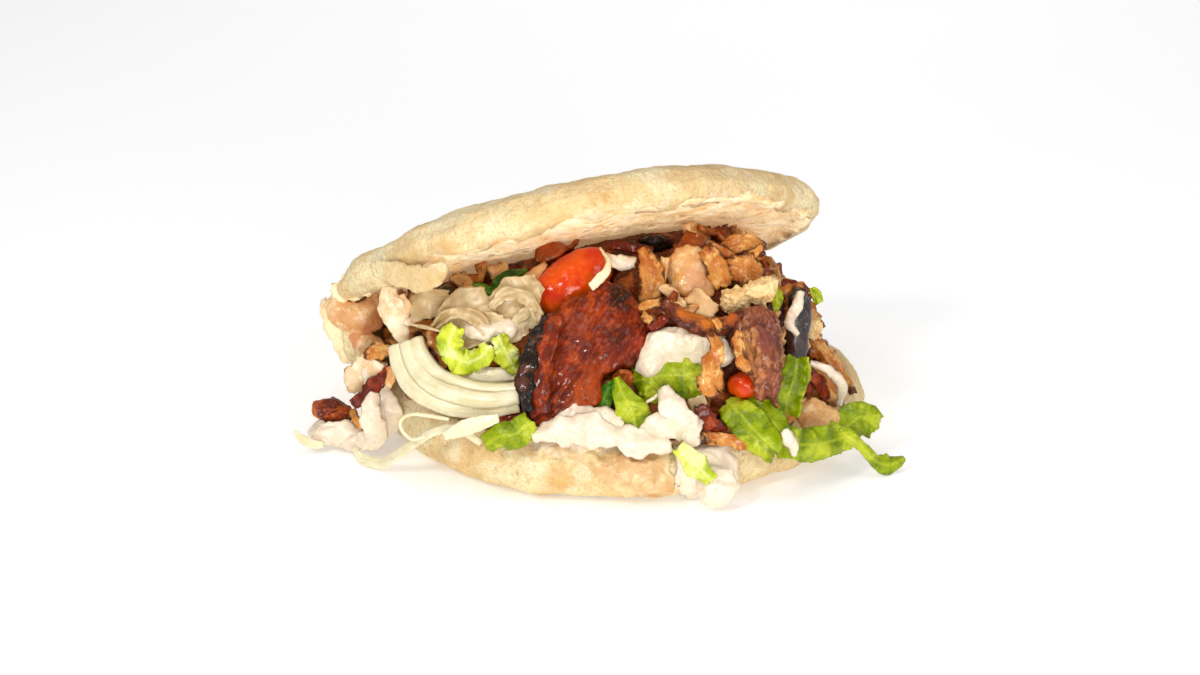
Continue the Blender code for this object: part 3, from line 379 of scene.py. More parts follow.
# %% coordinates that lie along a piece
def lay_grain(piece, path=None):
    """Stores the piece's own coordinates for its finish: along, across and through, and how near the rim
    each point is. path is the line that a curved strip follows."""
    points = points_of(piece)
    middle, axes = own_axes(piece)
    local = (points - middle) @ axes
    if path is not None:
        local = strip_coordinates(points, path, axes)
    spot = piece.data.attributes.new("grain", "FLOAT_VECTOR", "POINT")
    spot.data.foreach_set("vector", local.astype(np.float32).ravel())
    edge = piece.data.attributes.new("rim", "FLOAT", "POINT")
    edge.data.foreach_set("value", rim_share(piece).astype(np.float32))


def strip_coordinates(points, path, axes):
    """Along, across and through a strip whose middle line runs through the points of path."""
    line = np.array(path, float)
    starts, runs = line[:-1], np.diff(line, axis=0)
    lengths = np.linalg.norm(runs, axis=1)
    before = np.concatenate(([0], np.cumsum(lengths)[:-1]))
    t = ((points[:, None] - starts) * runs).sum(axis=2) / lengths**2
    t = t.clip(0, 1)
    nearest = starts + t[..., None] * runs
    away = points[:, None] - nearest
    k = np.linalg.norm(away, axis=2).argmin(axis=1)
    rows = np.arange(len(points))
    along = before[k] + t[rows, k] * lengths[k]
    offset = away[rows, k]
    thin = axes[:, 2]
    side = np.cross(runs[k] / lengths[k][:, None], thin)
    return np.stack((along, (offset * side).sum(axis=1), offset @ thin), axis=1)


# %% serve a finished piece
SHOWN = []


def rest_on_table(piece):
    """Raises the points that would sink into the table to its top."""
    points = points_of(piece)
    points[:, 2] = points[:, 2].clip(0)
    piece.data.vertices.foreach_set("co", (points * MM).ravel())


def serve(piece, finish, slot, *nodes):
    """Gives a piece its finish and its place in the frame: it rides on the one body and stands for nodes."""
    piece.data.materials.clear()
    piece.data.materials.append(finish)
    piece.vertex_groups.clear()
    rest_on_table(piece)
    alone(piece)
    bpy.ops.object.shade_smooth()
    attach(piece, "root")
    if nodes:
        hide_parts(*nodes)
    SHOWN.append(piece)
    print(piece.name, len(piece.data.polygons), "faces")


# %% [markdown]
# ## Thin sheets
# Leaves, shavings of meat, cabbage and onion are all thin sheets. By hand one adds a flat grid, bends it
# along the way that the piece lies, ruffles its rim, creases it with a cloud texture and gives it its
# thickness with Solidify. A Curve modifier would turn a sheet over wherever its path runs straight down, so
# the bend here moves the grid's points itself: each column of the grid stands across one place of the path.

# %% a smooth path and its unevenness
def along_curve(points, shares):
    """Places at shares, from 0 to 1, of a smooth curve through the points, and the curve's length."""
    line = np.array(points, float)
    line = np.vstack((2 * line[0] - line[1], line, 2 * line[-1] - line[-2]))
    t = np.linspace(0, len(points) - 1.0001, 80)
    i = t.astype(int)
    f = (t - i)[:, None]
    a, b, c, d = line[i], line[i + 1], line[i + 2], line[i + 3]
    curve = 0.5 * (2 * b + (c - a) * f + (2 * a - 5 * b + 4 * c - d) * f**2 + (3 * (b - c) + d - a) * f**3)
    gone = np.concatenate(([0], np.cumsum(np.linalg.norm(np.diff(curve, axis=0), axis=1))))
    return np.stack([np.interp(shares, gone / gone[-1], curve[:, k]) for k in range(3)], axis=1), gone[-1]


def uneven(values, wave):
    """Smooth unevenness, between about -1 and 1, that changes over a length of wave."""
    total = 0
    for count, share in ((1, 0.55), (2.3, 0.3), (4.7, 0.15)):
        total = total + share * np.sin(values * count * math.tau / wave + chance.uniform(0, math.tau))
    return total


def unit(vectors):
    """The same directions with a length of one."""
    return vectors / np.linalg.norm(vectors, axis=1)[:, None]


def store(piece, name, values):
    """Keeps a number for each point of a piece under a name, for its finish to read."""
    kept = piece.data.attributes.new(name, "FLOAT", "POINT")
    kept.data.foreach_set("value", np.asarray(values, np.float32))


# %% one thin sheet
def sheet(path, widths, thickness, face=(0, -1, 0.45), cup=0.0, ruffle=0.0, ragged=0.2, crumple=0.5, cell=0.8,
          wave=9.0):
    """A thin sheet whose middle line follows path and whose broad side looks towards face. cup bends its
    edges back, ruffle waves them over lengths of wave, ragged tears its outline and crumple creases it."""
    _, length = along_curve(path, [0])
    bpy.ops.object.select_all(action="DESELECT")
    bpy.ops.mesh.primitive_grid_add(x_subdivisions=max(5, round(length / cell)),
                                    y_subdivisions=max(3, round(max(widths) / cell)), size=2)
    piece = bpy.context.object
    flat = points_of(piece) * MM
    along, side = (flat[:, 0] + 1) / 2, flat[:, 1]
    hand = np.sign(side)
    places, _ = along_curve(path, along)
    ahead, _ = along_curve(path, np.minimum(along + 0.03, 1))
    behind, _ = along_curve(path, np.maximum(along - 0.03, 0))
    run = unit(ahead - behind)
    across = unit(np.cross(np.array(face, float), run))
    out = np.cross(run, across)
    tear = ragged * uneven(along * length + 40 * hand, wave) * np.abs(side)
    half = np.interp(along, np.linspace(0, 1, len(widths)), widths) / 2 * (1 + tear)
    lift = ruffle * np.abs(side) ** 1.5 * uneven(along * length + 25 * hand, wave) - cup * side**2
    end = ragged * half * 1.5 * uneven(half * side, 5.0) * (2 * along - 1) ** 3
    spots = places + across * (half * side)[:, None] + out * lift[:, None] + run * end[:, None]
    piece.data.vertices.foreach_set("co", (spots * MM).ravel())
    grain = piece.data.attributes.new("grain", "FLOAT_VECTOR", "POINT")
    own = np.stack((along * length, half * side, 0 * side), axis=1)
    grain.data.foreach_set("vector", own.astype(np.float32).ravel())
    store(piece, "rim", np.maximum(np.abs(side), np.abs(2 * along - 1)))
    seed = next(SEEDS)
    push(piece, 6.0, crumple, seed=seed)
    push(piece, 2.0, crumple * 0.2, seed=seed)
    use(piece, "SOLIDIFY", thickness=thickness * MM, offset=0)
    return piece


# %% gather and lay sheets
def gathered(parts, name):
    """Joins loose parts into one piece."""
    bpy.ops.object.select_all(action="DESELECT")
    for part in parts:
        part.select_set(True)
    bpy.context.view_layer.objects.active = parts[0]
    bpy.ops.object.join()
    parts[0].name = name
    return parts[0]


def laid(name, finish, slot, strips, nodes=(), thickness=1.2, **shape):
    """Makes one piece of thin sheets, each given as its path and its widths, and serves it."""
    parts = [sheet(path, widths, thickness, **shape) for path, widths in strips]
    serve(gathered(parts, name), finish, slot, *nodes)


# %% [markdown]
# ## The bread
# The real bread is baked in a round, slit at its front and right, and opened. Outside it has a thin floury
# crust, cream to golden and toasted in patches. Where it was torn it shows its crumb: a little darker,
# fibrous and full of small holes. The crust stands proud of the crumb like a lip, scalloped where the knife
# tore it. By hand one would mask the crumb and sink it a little. The mask is kept as an attribute for the
# finish to read. The crumb also gives off a faint warm light of its own through the finish's emission:
# painted light that brightens it where it lies in the lid's shade.

# %% where crust ends and crumb begins
LID_CENTRE = Vector((-18.0, 14.0, 58.0))
LID_OPENING = math.radians(33.4)
HINGE_AZIMUTH = math.radians(112.0)
LID_RADIUS = 91.0
LID_STARTS = (34, 40)
LID_THICKNESS = (-15, -11)
LIP_DEPTH = 6.6
INSIDE_REACH = 80
BASE_INSIDE = (76, 79)


def lid_axes():
    """Rows: along the hinge, down the slope from front to back, and out of the lid's top."""
    hinge = Vector((math.sin(HINGE_AZIMUTH), -math.cos(HINGE_AZIMUTH), 0))
    level = Vector((-math.cos(HINGE_AZIMUTH), -math.sin(HINGE_AZIMUTH), 0))
    forward = level * math.cos(LID_OPENING) + Vector((0, 0, math.sin(LID_OPENING)))
    return np.array((hinge, -forward, hinge.cross(-forward)))


def smooth(value, low, high):
    """0 below low, 1 above high, with a smooth step between. Works on whole arrays."""
    t = np.clip((value - low) / (high - low), 0, 1)
    return t * t * (3 - 2 * t)


def waves(angle, *terms):
    """A sum of sines round the bread: each term is (count, size, shift)."""
    return sum(size * np.sin(count * angle + shift) for count, size, shift in terms)


bread = moulded("bread", 1.3, relax=4)
points = points_of(bread)
on_lid = (points - np.array(LID_CENTRE)) @ lid_axes().T
reach = np.hypot(on_lid[:, 0], on_lid[:, 1])
turn = np.degrees(np.arctan2(on_lid[:, 1], on_lid[:, 0])) + math.degrees(HINGE_AZIMUTH) - 90
turn = (turn + 180) % 360 - 180
angle = np.radians(turn)
is_lid = smooth(points[:, 2], *LID_STARTS) * smooth(on_lid[:, 2], *LID_THICKNESS)
lip = -LIP_DEPTH - 1.4 * smooth(-turn, 40, 90) + waves(angle, (23, 0.7, 0), (41, 0.5, 1), (9, 0.9, 2))
on_front = smooth(-turn, -60, -20) * (1 - smooth(-turn, 158, 172)) + smooth(turn, 175, 179)
crumb = is_lid * smooth(lip - on_lid[:, 2], -0.3, 0.5) * on_front
inside = is_lid * smooth(-on_lid[:, 2], 1.0, 3.0) * (reach < INSIDE_REACH)
crumb = np.maximum(crumb, inside)
on_base = 1 - smooth(points[:, 2], *LID_STARTS)
base_reach = np.hypot(points[:, 0], points[:, 1])
crumb = np.maximum(crumb, on_base * (1 - smooth(base_reach, *BASE_INSIDE)) * smooth(points[:, 2], 4, 7))
print("share of the skin that is crumb:", round(float(crumb.mean()), 2))

# %% sink the crumb under its lip, then knead the skin
sunk = weigh(bread, "sunk", crumb * smooth(reach, 66, 80) * is_lid)
use(bread, "DISPLACE", strength=-1.4 * MM, mid_level=0.0, vertex_group=sunk)
push(bread, 24.0, 1.5, seed=1)
push(bread, 7.0, 0.7, seed=2, detail=3)
rough_part = weigh(bread, "rough", crumb)
push(bread, 5.0, 1.3, group=rough_part, seed=3, detail=4, stretch=(2.2, 1, 1))
push(bread, 2.4, 0.2, seed=4)
store(bread, "crumb", crumb)
store(bread, "arc", angle * LID_RADIUS)
store(bread, "upper", is_lid)
store(bread, "outer", np.where(is_lid > 0.5, smooth(reach, 70, 86), smooth(base_reach, 70, 82)))
store(bread, "level", np.where(is_lid > 0.5, on_lid[:, 2], points[:, 2]))


# %% crust and crumb finish
def bread_finish():
    f = Finish("bread_crust")
    arc, level, crumb_share = f.kept("arc"), f.kept("level"), f.kept("crumb")
    layers = f.add("ShaderNodeCombineXYZ", (arc * 0.12, level * 0.7, f.noise(20.0)))
    broad = f.noise(24.0, detail=4)
    mid = f.noise(8.0, detail=5)
    fine = f.noise(1.3, detail=4, rough=0.65)
    crust = f.blend(f.ramp(broad, 0.38, 0.62), rgb(244, 228, 182), rgb(232, 202, 146))
    crust = f.blend(f.ramp(mid, 0.5, 0.66) * 0.5, crust, rgb(226, 186, 122))
    pale = f.ramp(f.noise(15.0, detail=5), 0.50, 0.64)
    crust = f.blend(pale * 0.6, crust, rgb(250, 236, 202))
    toast = f.ramp(f.noise(11.0, detail=6, rough=0.65), 0.58, 0.72)
    crust = f.blend(toast * 0.7, crust, rgb(206, 146, 76))
    flour = f.ramp(f.noise(2.6, detail=6, rough=0.75), 0.55, 0.72)
    crust = f.blend(flour * 0.3, crust, rgb(250, 238, 208))
    lines = f.noise(1.0, f.add("ShaderNodeCombineXYZ", (arc * 0.05, level * 0.5, 0.0)), detail=5, rough=0.7)
    ridge = f.ramp(level, 3.0, 12.0) * f.kept("upper")
    streaks = f.ramp(lines, 0.5, 0.64) * (ridge * 0.5 + 0.15) * f.kept("outer")
    crust = f.blend(streaks, crust, rgb(186, 134, 88))
    dots = f.ramp(f.noise(0.9, detail=3), 0.6, 0.68) * f.ramp(f.noise(7.0), 0.42, 0.58)
    crust = f.blend(dots * 0.4, crust, rgb(190, 142, 90))
    specks = f.flecks(5.5, 0.35) * f.ramp(f.noise(9.0), 0.5, 0.6)
    crust = f.blend(specks * 0.7, crust, rgb(130, 84, 46))
    crust = f.blend(f.ramp(fine, 0.5, 0.62) * 0.5, crust, rgb(212, 172, 112))
    crust = f.blend(f.ramp(f.noise(3.4, detail=6, rough=0.7), 0.55, 0.66) * 0.45, crust, rgb(214, 172, 112))
    for place, radius, colour, amount in CRUST_MARKS:
        crust = f.blend(f.spot(*place, radius) * amount, crust, colour)
    fibres = f.noise(1.0, layers, detail=5, rough=0.65)
    inner = f.blend(f.ramp(fibres, 0.30, 0.66), rgb(252, 220, 162), rgb(255, 246, 212))
    inner = f.blend(f.ramp(f.noise(9.0, detail=5), 0.5, 0.64) * 0.6, inner, rgb(234, 190, 122))
    inner = f.blend(f.ramp(f.noise(3.0, detail=5), 0.56, 0.7) * 0.5, inner, rgb(255, 244, 216))
    # The crumb's small holes: they give relief, and the colour is painted darker in them as painted shade.
    hole_relief_and_shade = f.ramp(f.cells(5.5, f.times(f.place, (1.0, 1.0, 1.6))), 0.08, 0.4)
    inner = f.blend((1 - hole_relief_and_shade) * 0.35, inner, rgb(226, 176, 104))
    # Painted shade: darker orange spots where the crumb under the lid lies in deep hollows.
    for place, radius in LID_HOLLOW_SHADE:
        inner = f.blend(f.spot(*place, radius) * 0.85, inner, rgb(196, 138, 56))
    colour = f.blend(crumb_share, crust, inner)
    skin = f.bump(mid, 1.4)
    skin = f.bump(f.noise(3.0, detail=5, rough=0.65), 1.5, skin)
    skin = f.bump(fine, 0.6, skin)
    skin = f.bump((hole_relief_and_shade * 0.6 + fibres) * crumb_share, 1.2, skin)
    # Painted light: the crumb emits a faint warm light of its own, to brighten it in the shade under the lid.
    painted_glow = f.blend(crumb_share, (0.0, 0.0, 0.0), f.blend(0.6, inner, rgb(244, 176, 110)))
    return f.done(colour, fine * 0.25 + 0.6, skin, Subsurface_Weight=0.1, Emission_Color=painted_glow,
                  Emission_Strength=0.3, Subsurface_Radius=(0.004, 0.002, 0.001), Specular_IOR_Level=0.25)


# %% marks on the crust, and the bread served
CRUST_MARKS = (
    ((-23.7, -86.0, 10.0), 8.0, rgb(218, 164, 84), 0.5),
    ((-9.0, -88.0, 14.6), 5.0, rgb(222, 170, 92), 0.5),
    ((-75.0, -53.0, 73.0), 17.0, rgb(222, 190, 136), 0.6),
    ((-53.8, -76.0, 17.7), 12.0, rgb(226, 182, 116), 0.5),
    ((-91.0, -20.0, 64.2), 9.0, rgb(228, 174, 100), 0.6),
    ((-57.0, -55.0, 83.3), 9.0, rgb(230, 178, 106), 0.45),
    ((-40.4, -45.0, 94.4), 1.6, rgb(60, 42, 30), 0.9),
    ((20.0, -30.0, 108.0), 30.0, rgb(210, 170, 124), 0.35),
    ((-30.0, 10.0, 86.0), 40.0, rgb(218, 158, 92), 0.4),
    ((30.0, 40.0, 88.0), 28.0, rgb(202, 138, 74), 0.45),
)
# Places and sizes of the painted shade in deep hollows of the crumb under the lid.
LID_HOLLOW_SHADE = (
    ((-43.0, -62.0, 84.0), 7.0),
    ((-30.0, -63.0, 87.0), 6.0),
    ((8.0, -60.0, 93.0), 7.0),
    ((26.0, -54.0, 94.0), 5.0),
    ((44.0, -46.0, 96.0), 7.0),
    ((58.0, -30.0, 92.0), 8.0),
)
bread_skin = bread_finish()
serve(bread, bread_skin, "bread_crust", "bread")

# %% [markdown]
# ## The torn edges
# At the front left a tongue of the lid's thin skin was torn loose and hangs down over the filling, its lower
# edge ragged. Further left the torn wall of the pocket curls round the meat in it. Both are thin, so a sheet
# will do, with the bread's own finish: crust on the tongue, crumb on the wall.

# %% the tongue and the torn wall
def bread_scrap(path, widths, crumb_share, **shape):
    """A thin torn piece of the bread."""
    scrap = sheet(path, widths, 1.5, cell=0.9, **shape)
    for name, value in (("crumb", crumb_share), ("arc", 0.0), ("level", 0.0), ("upper", 0.0), ("outer", 0.0)):
        store(scrap, name, [value] * len(scrap.data.vertices))
    return scrap


torn = [
    bread_scrap([(-88, -42, 72), (-82, -48, 73), (-76, -53, 73), (-68.5, -58, 74), (-61.5, -61, 79.5)],
                (5, 8, 9, 9, 4), 0.0, face=(-0.4, -1.0, 0.1), ragged=0.16, crumple=0.5),
    bread_scrap([(-106, -10, 48.5), (-107.5, -12, 43.5), (-104, -14, 36.5), (-100.5, -18, 31.5),
                 (-94.5, -24, 30)],
                (6, 7, 7, 7, 5), 0.8, face=(-0.5, -1.0, 0.2), cup=1.5, ragged=0.3, crumple=0.9),
    bread_scrap([(-104, -16, 52), (-98, -22, 57.5), (-92, -28, 61), (-87.5, -32, 62)],
                (6, 9, 8, 5), 0.8, face=(-0.3, -1.0, 0.1), ragged=0.35, crumple=0.8),
]
serve(gathered(torn, "torn_edges"), bread_skin, "bread_crust")


# %% [markdown]
# ## Meat
# The browned slice in front is the first thing that one sees: red-brown, wet with fat, with fine fibres, an
# orange lower half and charred corners. The other slices are paler and curled. All of them are shaved from
# the same spit, so one formula makes their finishes, with its own colours and amount of char for each kind.
# Small glints come from a fine, uneven relief under a thin coat of fat.

# %% meat finishes
def meat_finish(name, light, main, deep, char, charring, wet, marks=(), relief=1.0, streaks=0.35):
    f = Finish(name)
    grain = f.grain()
    fibres = f.noise(1.0, f.times(grain, (0.12, 0.9, 0.9)), detail=5, rough=0.65, swirl=0.6)
    clouds = f.noise(8.0, detail=4)
    mottle = f.noise(2.2, detail=6, rough=0.72, swirl=0.4)
    fine = f.noise(0.6, detail=3, rough=0.7)
    colour = f.blend(f.ramp(clouds, 0.36, 0.64) * 0.8, main, deep)
    colour = f.blend(f.ramp(f.noise(5.0, detail=6, rough=0.65), 0.5, 0.62) * 0.75, colour, light)
    for place, radius, tint, amount in marks:
        colour = f.blend(f.spot(*place, radius) * amount, colour, tint)
    colour = f.blend(f.ramp(fibres, 0.52, 0.66) * streaks, colour, light)
    colour = f.blend(f.ramp(fibres, 0.48, 0.36) * streaks, colour, deep)
    colour = f.blend(f.ramp(mottle, 0.53, 0.64) * 0.5, colour, deep)
    edge = f.kept("rim") + (f.noise(3.0, detail=6, rough=0.7) - 0.5) * 1.2
    singed = f.ramp(edge, 1.1 - charring, 1.3 - charring) * f.ramp(f.noise(6.0), 0.44, 0.56)
    colour = f.blend(singed * 0.9, colour, char)
    gleam = f.ramp(f.noise(1.5, detail=3), 0.46, 0.58)
    skin = f.bump(fibres, 0.3 * relief)
    skin = f.bump(mottle, 0.35 * relief, skin)
    skin = f.bump(fine, 0.18, skin)
    return f.done(colour, 0.35 + wet - gleam * 0.2, skin, Subsurface_Weight=0.1, Specular_IOR_Level=0.15,
                  Subsurface_Radius=(0.004, 0.0015, 0.0006), Coat_Weight=gleam * 0.5, Coat_Roughness=0.08)


# %% stains and char of single slices
HERO_MARKS = (
    ((-13.1, -74.0, 35.4), 11.0, rgb(160, 66, 8), 0.7),
    ((-9.0, -72.0, 43.9), 8.0, rgb(150, 56, 8), 0.6),
    ((7.5, -66.0, 54.4), 7.0, rgb(150, 42, 24), 0.8),
    ((-17.0, -66.0, 62.0), 10.0, rgb(138, 50, 14), 0.7),
    ((-0.4, -55.0, 67.6), 8.0, rgb(20, 14, 10), 0.95),
    ((-24.0, -76.0, 28.0), 5.0, rgb(42, 18, 12), 0.7),
    ((-3.0, -66.0, 57.0), 6.0, rgb(54, 20, 12), 0.75),
    ((2.0, -68.0, 46.0), 5.0, rgb(60, 20, 12), 0.7),
)
CRESCENT_MARKS = (
    ((21.0, -66.0, 65.0), 5.0, rgb(206, 106, 20), 0.85),
    ((28.0, -68.0, 63.0), 5.5, rgb(214, 116, 24), 0.85),
    ((35.0, -65.0, 62.0), 4.0, rgb(190, 92, 24), 0.8),
)
CURL_MARKS = (
    ((42.0, -72.0, 51.0), 5.5, rgb(214, 146, 84), 0.85),
    ((40.5, -71.0, 57.0), 5.0, rgb(220, 156, 92), 0.85),
    ((44.0, -74.0, 45.0), 4.0, rgb(198, 124, 68), 0.75),
    ((51.0, -70.0, 58.0), 7.0, rgb(128, 66, 60), 0.7),
)
PALE_MARKS = (
    ((16.0, -45.0, 70.0), 5.0, rgb(224, 160, 60), 0.8),
    ((24.0, -43.0, 68.0), 6.0, rgb(214, 152, 116), 0.7),
    ((22.0, -46.0, 61.0), 5.0, rgb(218, 138, 60), 0.7),
    ((18.0, -42.0, 77.0), 4.0, rgb(226, 172, 96), 0.7),
)
POCKET_MARKS = (
    ((-95.0, -18.0, 47.5), 2.2, rgb(110, 40, 16), 0.9),
    ((-90.0, -20.0, 42.0), 7.0, rgb(176, 100, 54), 0.7),
    ((-98.0, -24.0, 38.0), 4.0, rgb(200, 96, 44), 0.6),
)
GLAZED_MARKS = (((-112.5, -28.0, 11.0), 4.5, rgb(214, 116, 26), 0.85),)

# %% colours of the meat
RED_BROWN = (rgb(180, 70, 10), rgb(128, 36, 4), rgb(76, 18, 3), rgb(18, 10, 8))
PURPLE_BROWN = (rgb(196, 130, 88), rgb(140, 72, 46), rgb(82, 32, 20), rgb(36, 16, 12))
TAN = (rgb(232, 186, 112), rgb(206, 138, 62), rgb(164, 78, 20), rgb(72, 26, 8))
PALE = (rgb(244, 212, 162), rgb(228, 178, 118), rgb(208, 142, 80), rgb(170, 92, 30))
BURNT = (rgb(96, 50, 30), rgb(30, 18, 14), rgb(10, 7, 6), rgb(8, 6, 6))
SAUCED = (rgb(252, 240, 216), rgb(244, 222, 186), rgb(220, 176, 124), rgb(150, 88, 36))
browned = meat_finish("browned_meat", *RED_BROWN, 0.25, 0.1)
charred = meat_finish("charred_meat", *BURNT, 0.3, 0.05)
tan = meat_finish("tan_meat", *TAN, 0.38, 0.02, relief=0.6)
pale = meat_finish("pale_meat", *PALE, 0.2, 0.1, relief=0.6)
sauced = meat_finish("sauced_meat", *SAUCED, 0.15, 0.1, relief=0.6)
curled = meat_finish("curled_meat", *PURPLE_BROWN, 0.2, 0.05, CURL_MARKS, 0.8, 0.5)
OWN_FINISH = {
    "meat_browned_slice": meat_finish("browned_slice", *RED_BROWN, 0.14, 0.02, HERO_MARKS, 0.7, 0.5),
    "meat_crescent": meat_finish("crescent_meat", rgb(150, 72, 30), rgb(92, 38, 22), rgb(60, 22, 18),
                                 rgb(40, 16, 16), 0.1, 0.02, CRESCENT_MARKS),
    "meat_curled_slice": curled,
    "meat_pale_slice": meat_finish("pale_slice", *PALE, 0.05, 0.1, PALE_MARKS, 0.5, 0.2),
    "meat_in_pocket": meat_finish("pocket_meat", rgb(248, 222, 180), rgb(236, 192, 142), rgb(206, 142, 82),
                                  rgb(150, 70, 30), 0.0, 0.1, POCKET_MARKS, 0.4, 0.15),
    "spill_glazed_bit": meat_finish("glazed_bit", rgb(186, 88, 40), rgb(112, 44, 24), rgb(64, 24, 16),
                                    rgb(30, 14, 10), 0.2, -0.1, GLAZED_MARKS, 0.6),
}
print("slices with a finish of their own:", len(OWN_FINISH))

# %% [markdown]
# The thicker slices are worked from the frame's own solids, which keeps their place: a little waving, a torn
# rim, and fine fibres.

# %% shape the thick slices
THICK = {
    "browned_meat": (browned, ("meat_browned_slice", "meat_crescent", "meat_curled_slice", "meat_under_onion",
                               "spill_glazed_bit")),
    "charred_meat": (charred, ("meat_burnt_bit",)),
    "tan_meat": (tan, ("meat_strip_right", "meat_sauced_slice", "meat_brown_tip", "meat_crisp_edge")),
    "pale_meat": (pale, ("meat_pale_slice", "meat_on_base", "meat_pale_flap", "meat_in_pocket")),
}
CALM = ("meat_in_pocket", "meat_pale_slice", "meat_browned_slice", "meat_curled_slice")
for slot, (finish, names) in THICK.items():
    for name in names:
        slice_of_meat = moulded(name, 0.45, relax=6)
        seed = next(SEEDS)
        calm = 0.6 if name in CALM else 1.0
        torn = weigh(slice_of_meat, "torn", rim_share(slice_of_meat) ** 3)
        push(slice_of_meat, 9.0, 1.3 * calm, sideways=True, seed=seed)
        push(slice_of_meat, 2.6, 1.5 * calm, sideways=True, group=torn, seed=seed, detail=4)
        push(slice_of_meat, 5.0, 0.6 * calm, seed=seed, detail=2)
        push(slice_of_meat, 1.2, 0.14, stretch=(7, 1, 1), seed=seed, detail=2)
        lay_grain(slice_of_meat)
        serve(slice_of_meat, OWN_FINISH.get(name, finish), slot, name)

# %% [markdown]
# The thin shavings are sheets. Each one is a path over the filling with a width for each of its points. Some
# stand for a solid of the frame and the others fill the gaps between, as in the real heap.

# %% lay the thin shavings
laid("meat_charred_edge_shown", charred, "charred_meat", [
    ([(-27.5, -62, 61.5), (-31, -68, 55.5), (-33.5, -74, 48.5), (-34.5, -79, 41), (-33, -82, 34.5)],
     (2, 5, 6, 6, 3)),
], nodes=("meat_charred_edge",), thickness=2.0, face=(-0.3, -1, 0.4), ragged=0.3, ruffle=0.8, crumple=0.8)
laid("browned_slice_edge", OWN_FINISH["meat_browned_slice"], "browned_meat", [
    ([(-24, -63, 62.5), (-27.5, -69, 56), (-30, -74, 48.5), (-31, -79, 40.5), (-29, -81, 33)],
     (4, 8, 9, 9, 6)),
], thickness=2.0, face=(-0.3, -1, 0.4), cup=1.5, ragged=0.2, crumple=0.6)
laid("meat_tan_slice_shown", tan, "tan_meat", [
    ([(28.5, -76, 61), (30.5, -79, 56), (29, -80, 49.5), (30.5, -78, 38.5)], (2, 5, 7.5, 4)),
    ([(26, -77, 46.5), (27, -80, 43.5), (30, -80, 38.5)], (3, 5.5, 5)),
], nodes=("meat_tan_slice",), thickness=1.5, cup=1.0, ragged=0.3, ruffle=1.4, crumple=0.8, wave=13.0)
laid("meat_sauced_left_shown", sauced, "pale_meat", [
    ([(-83.5, -38, 64), (-82.5, -42, 59.5), (-80.5, -44, 54), (-78.5, -44, 48), (-77, -44, 45)],
     (4, 8, 9.5, 7, 2.5)),
    ([(-79, -39, 61), (-77.5, -42, 57), (-76.5, -43, 51)], (3, 6, 4)),
], nodes=("meat_sauced_left",), thickness=1.2, cup=1.5, ruffle=1.8, ragged=0.2, crumple=0.8, wave=14.0)
laid("spill_pale_slice_shown", sauced, "pale_meat", [
    ([(-96, -34, 22), (-94.5, -37, 29), (-91, -39, 33.5), (-86, -40, 37)], (7, 10, 10, 6)),
], nodes=("spill_pale_slice",), thickness=1.8, cup=1.0, ruffle=1.0, ragged=0.25, crumple=0.9)
laid("spill_brown_strip_shown", browned, "tan_meat", [
    ([(-96, -39, 19.5), (-91, -42, 25.5), (-86, -43, 31), (-81.5, -43, 35)], (3, 5, 5.5, 3)),
], nodes=("spill_brown_strip",), thickness=1.8, ragged=0.35, ruffle=0.8, crumple=0.8)
laid("curled_folds", curled, "browned_meat", [
    ([(44, -70, 61), (48, -73, 53), (48.5, -74, 45), (46, -75, 36)], (4, 8, 8, 5)),
], thickness=1.3, face=(0.3, -1, 0.3), cup=1.0, ruffle=1.4, ragged=0.3, crumple=0.7)
laid("curled_tan_fold", tan, "tan_meat", [
    ([(38.5, -74, 61), (38, -76, 57), (39.5, -77, 51), (42.5, -77, 46)], (2, 4.5, 4.5, 2)),
], thickness=1.1, face=(-0.4, -1, 0.3), cup=-0.4, ruffle=1.2, ragged=0.2, crumple=0.5)

# %% lay the strips further back
laid("meat_red_strip_shown", tan, "browned_meat", [
    ([(5.5, -42, 79.5), (8.5, -45, 74.5), (9, -47, 67), (6.5, -48, 60.5)], (2, 7, 9, 3.5)),
], nodes=("meat_red_strip",), thickness=1.8, cup=1.2)
laid("meat_folded_strip_shown", tan, "tan_meat", [
    ([(27.5, -41, 79), (31, -44, 74.5), (34.5, -44, 66)], (5, 8.5, 6)),
    ([(35.5, -40, 73), (41.5, -40, 71), (48, -38, 67)], (7, 11, 6)),
], nodes=("meat_folded_strip",), thickness=1.4, cup=0.8, ragged=0.25, ruffle=1.2, wave=14.0)
laid("meat_low_piece_shown", browned, "tan_meat", [
    ([(25, -77, 35), (27, -78, 30.5), (32, -77, 24.5)], (3, 7.5, 5)),
], nodes=("meat_low_piece",), thickness=2.2, ragged=0.35, crumple=0.8)
laid("meat_red_bit_shown", browned, "browned_meat", [
    ([(-61, -34, 56.5), (-64.5, -36, 52.5), (-67.5, -37, 48)], (3, 5, 3)),
], nodes=("meat_red_bit_left",), thickness=2.0)
laid("meat_tan_bit_shown", tan, "tan_meat", [
    ([(-69, -40, 47.5), (-65.5, -43, 42.5), (-62.5, -44, 36)], (3.5, 5, 3.5)),
], nodes=("meat_tan_bit_left",), thickness=2.0)

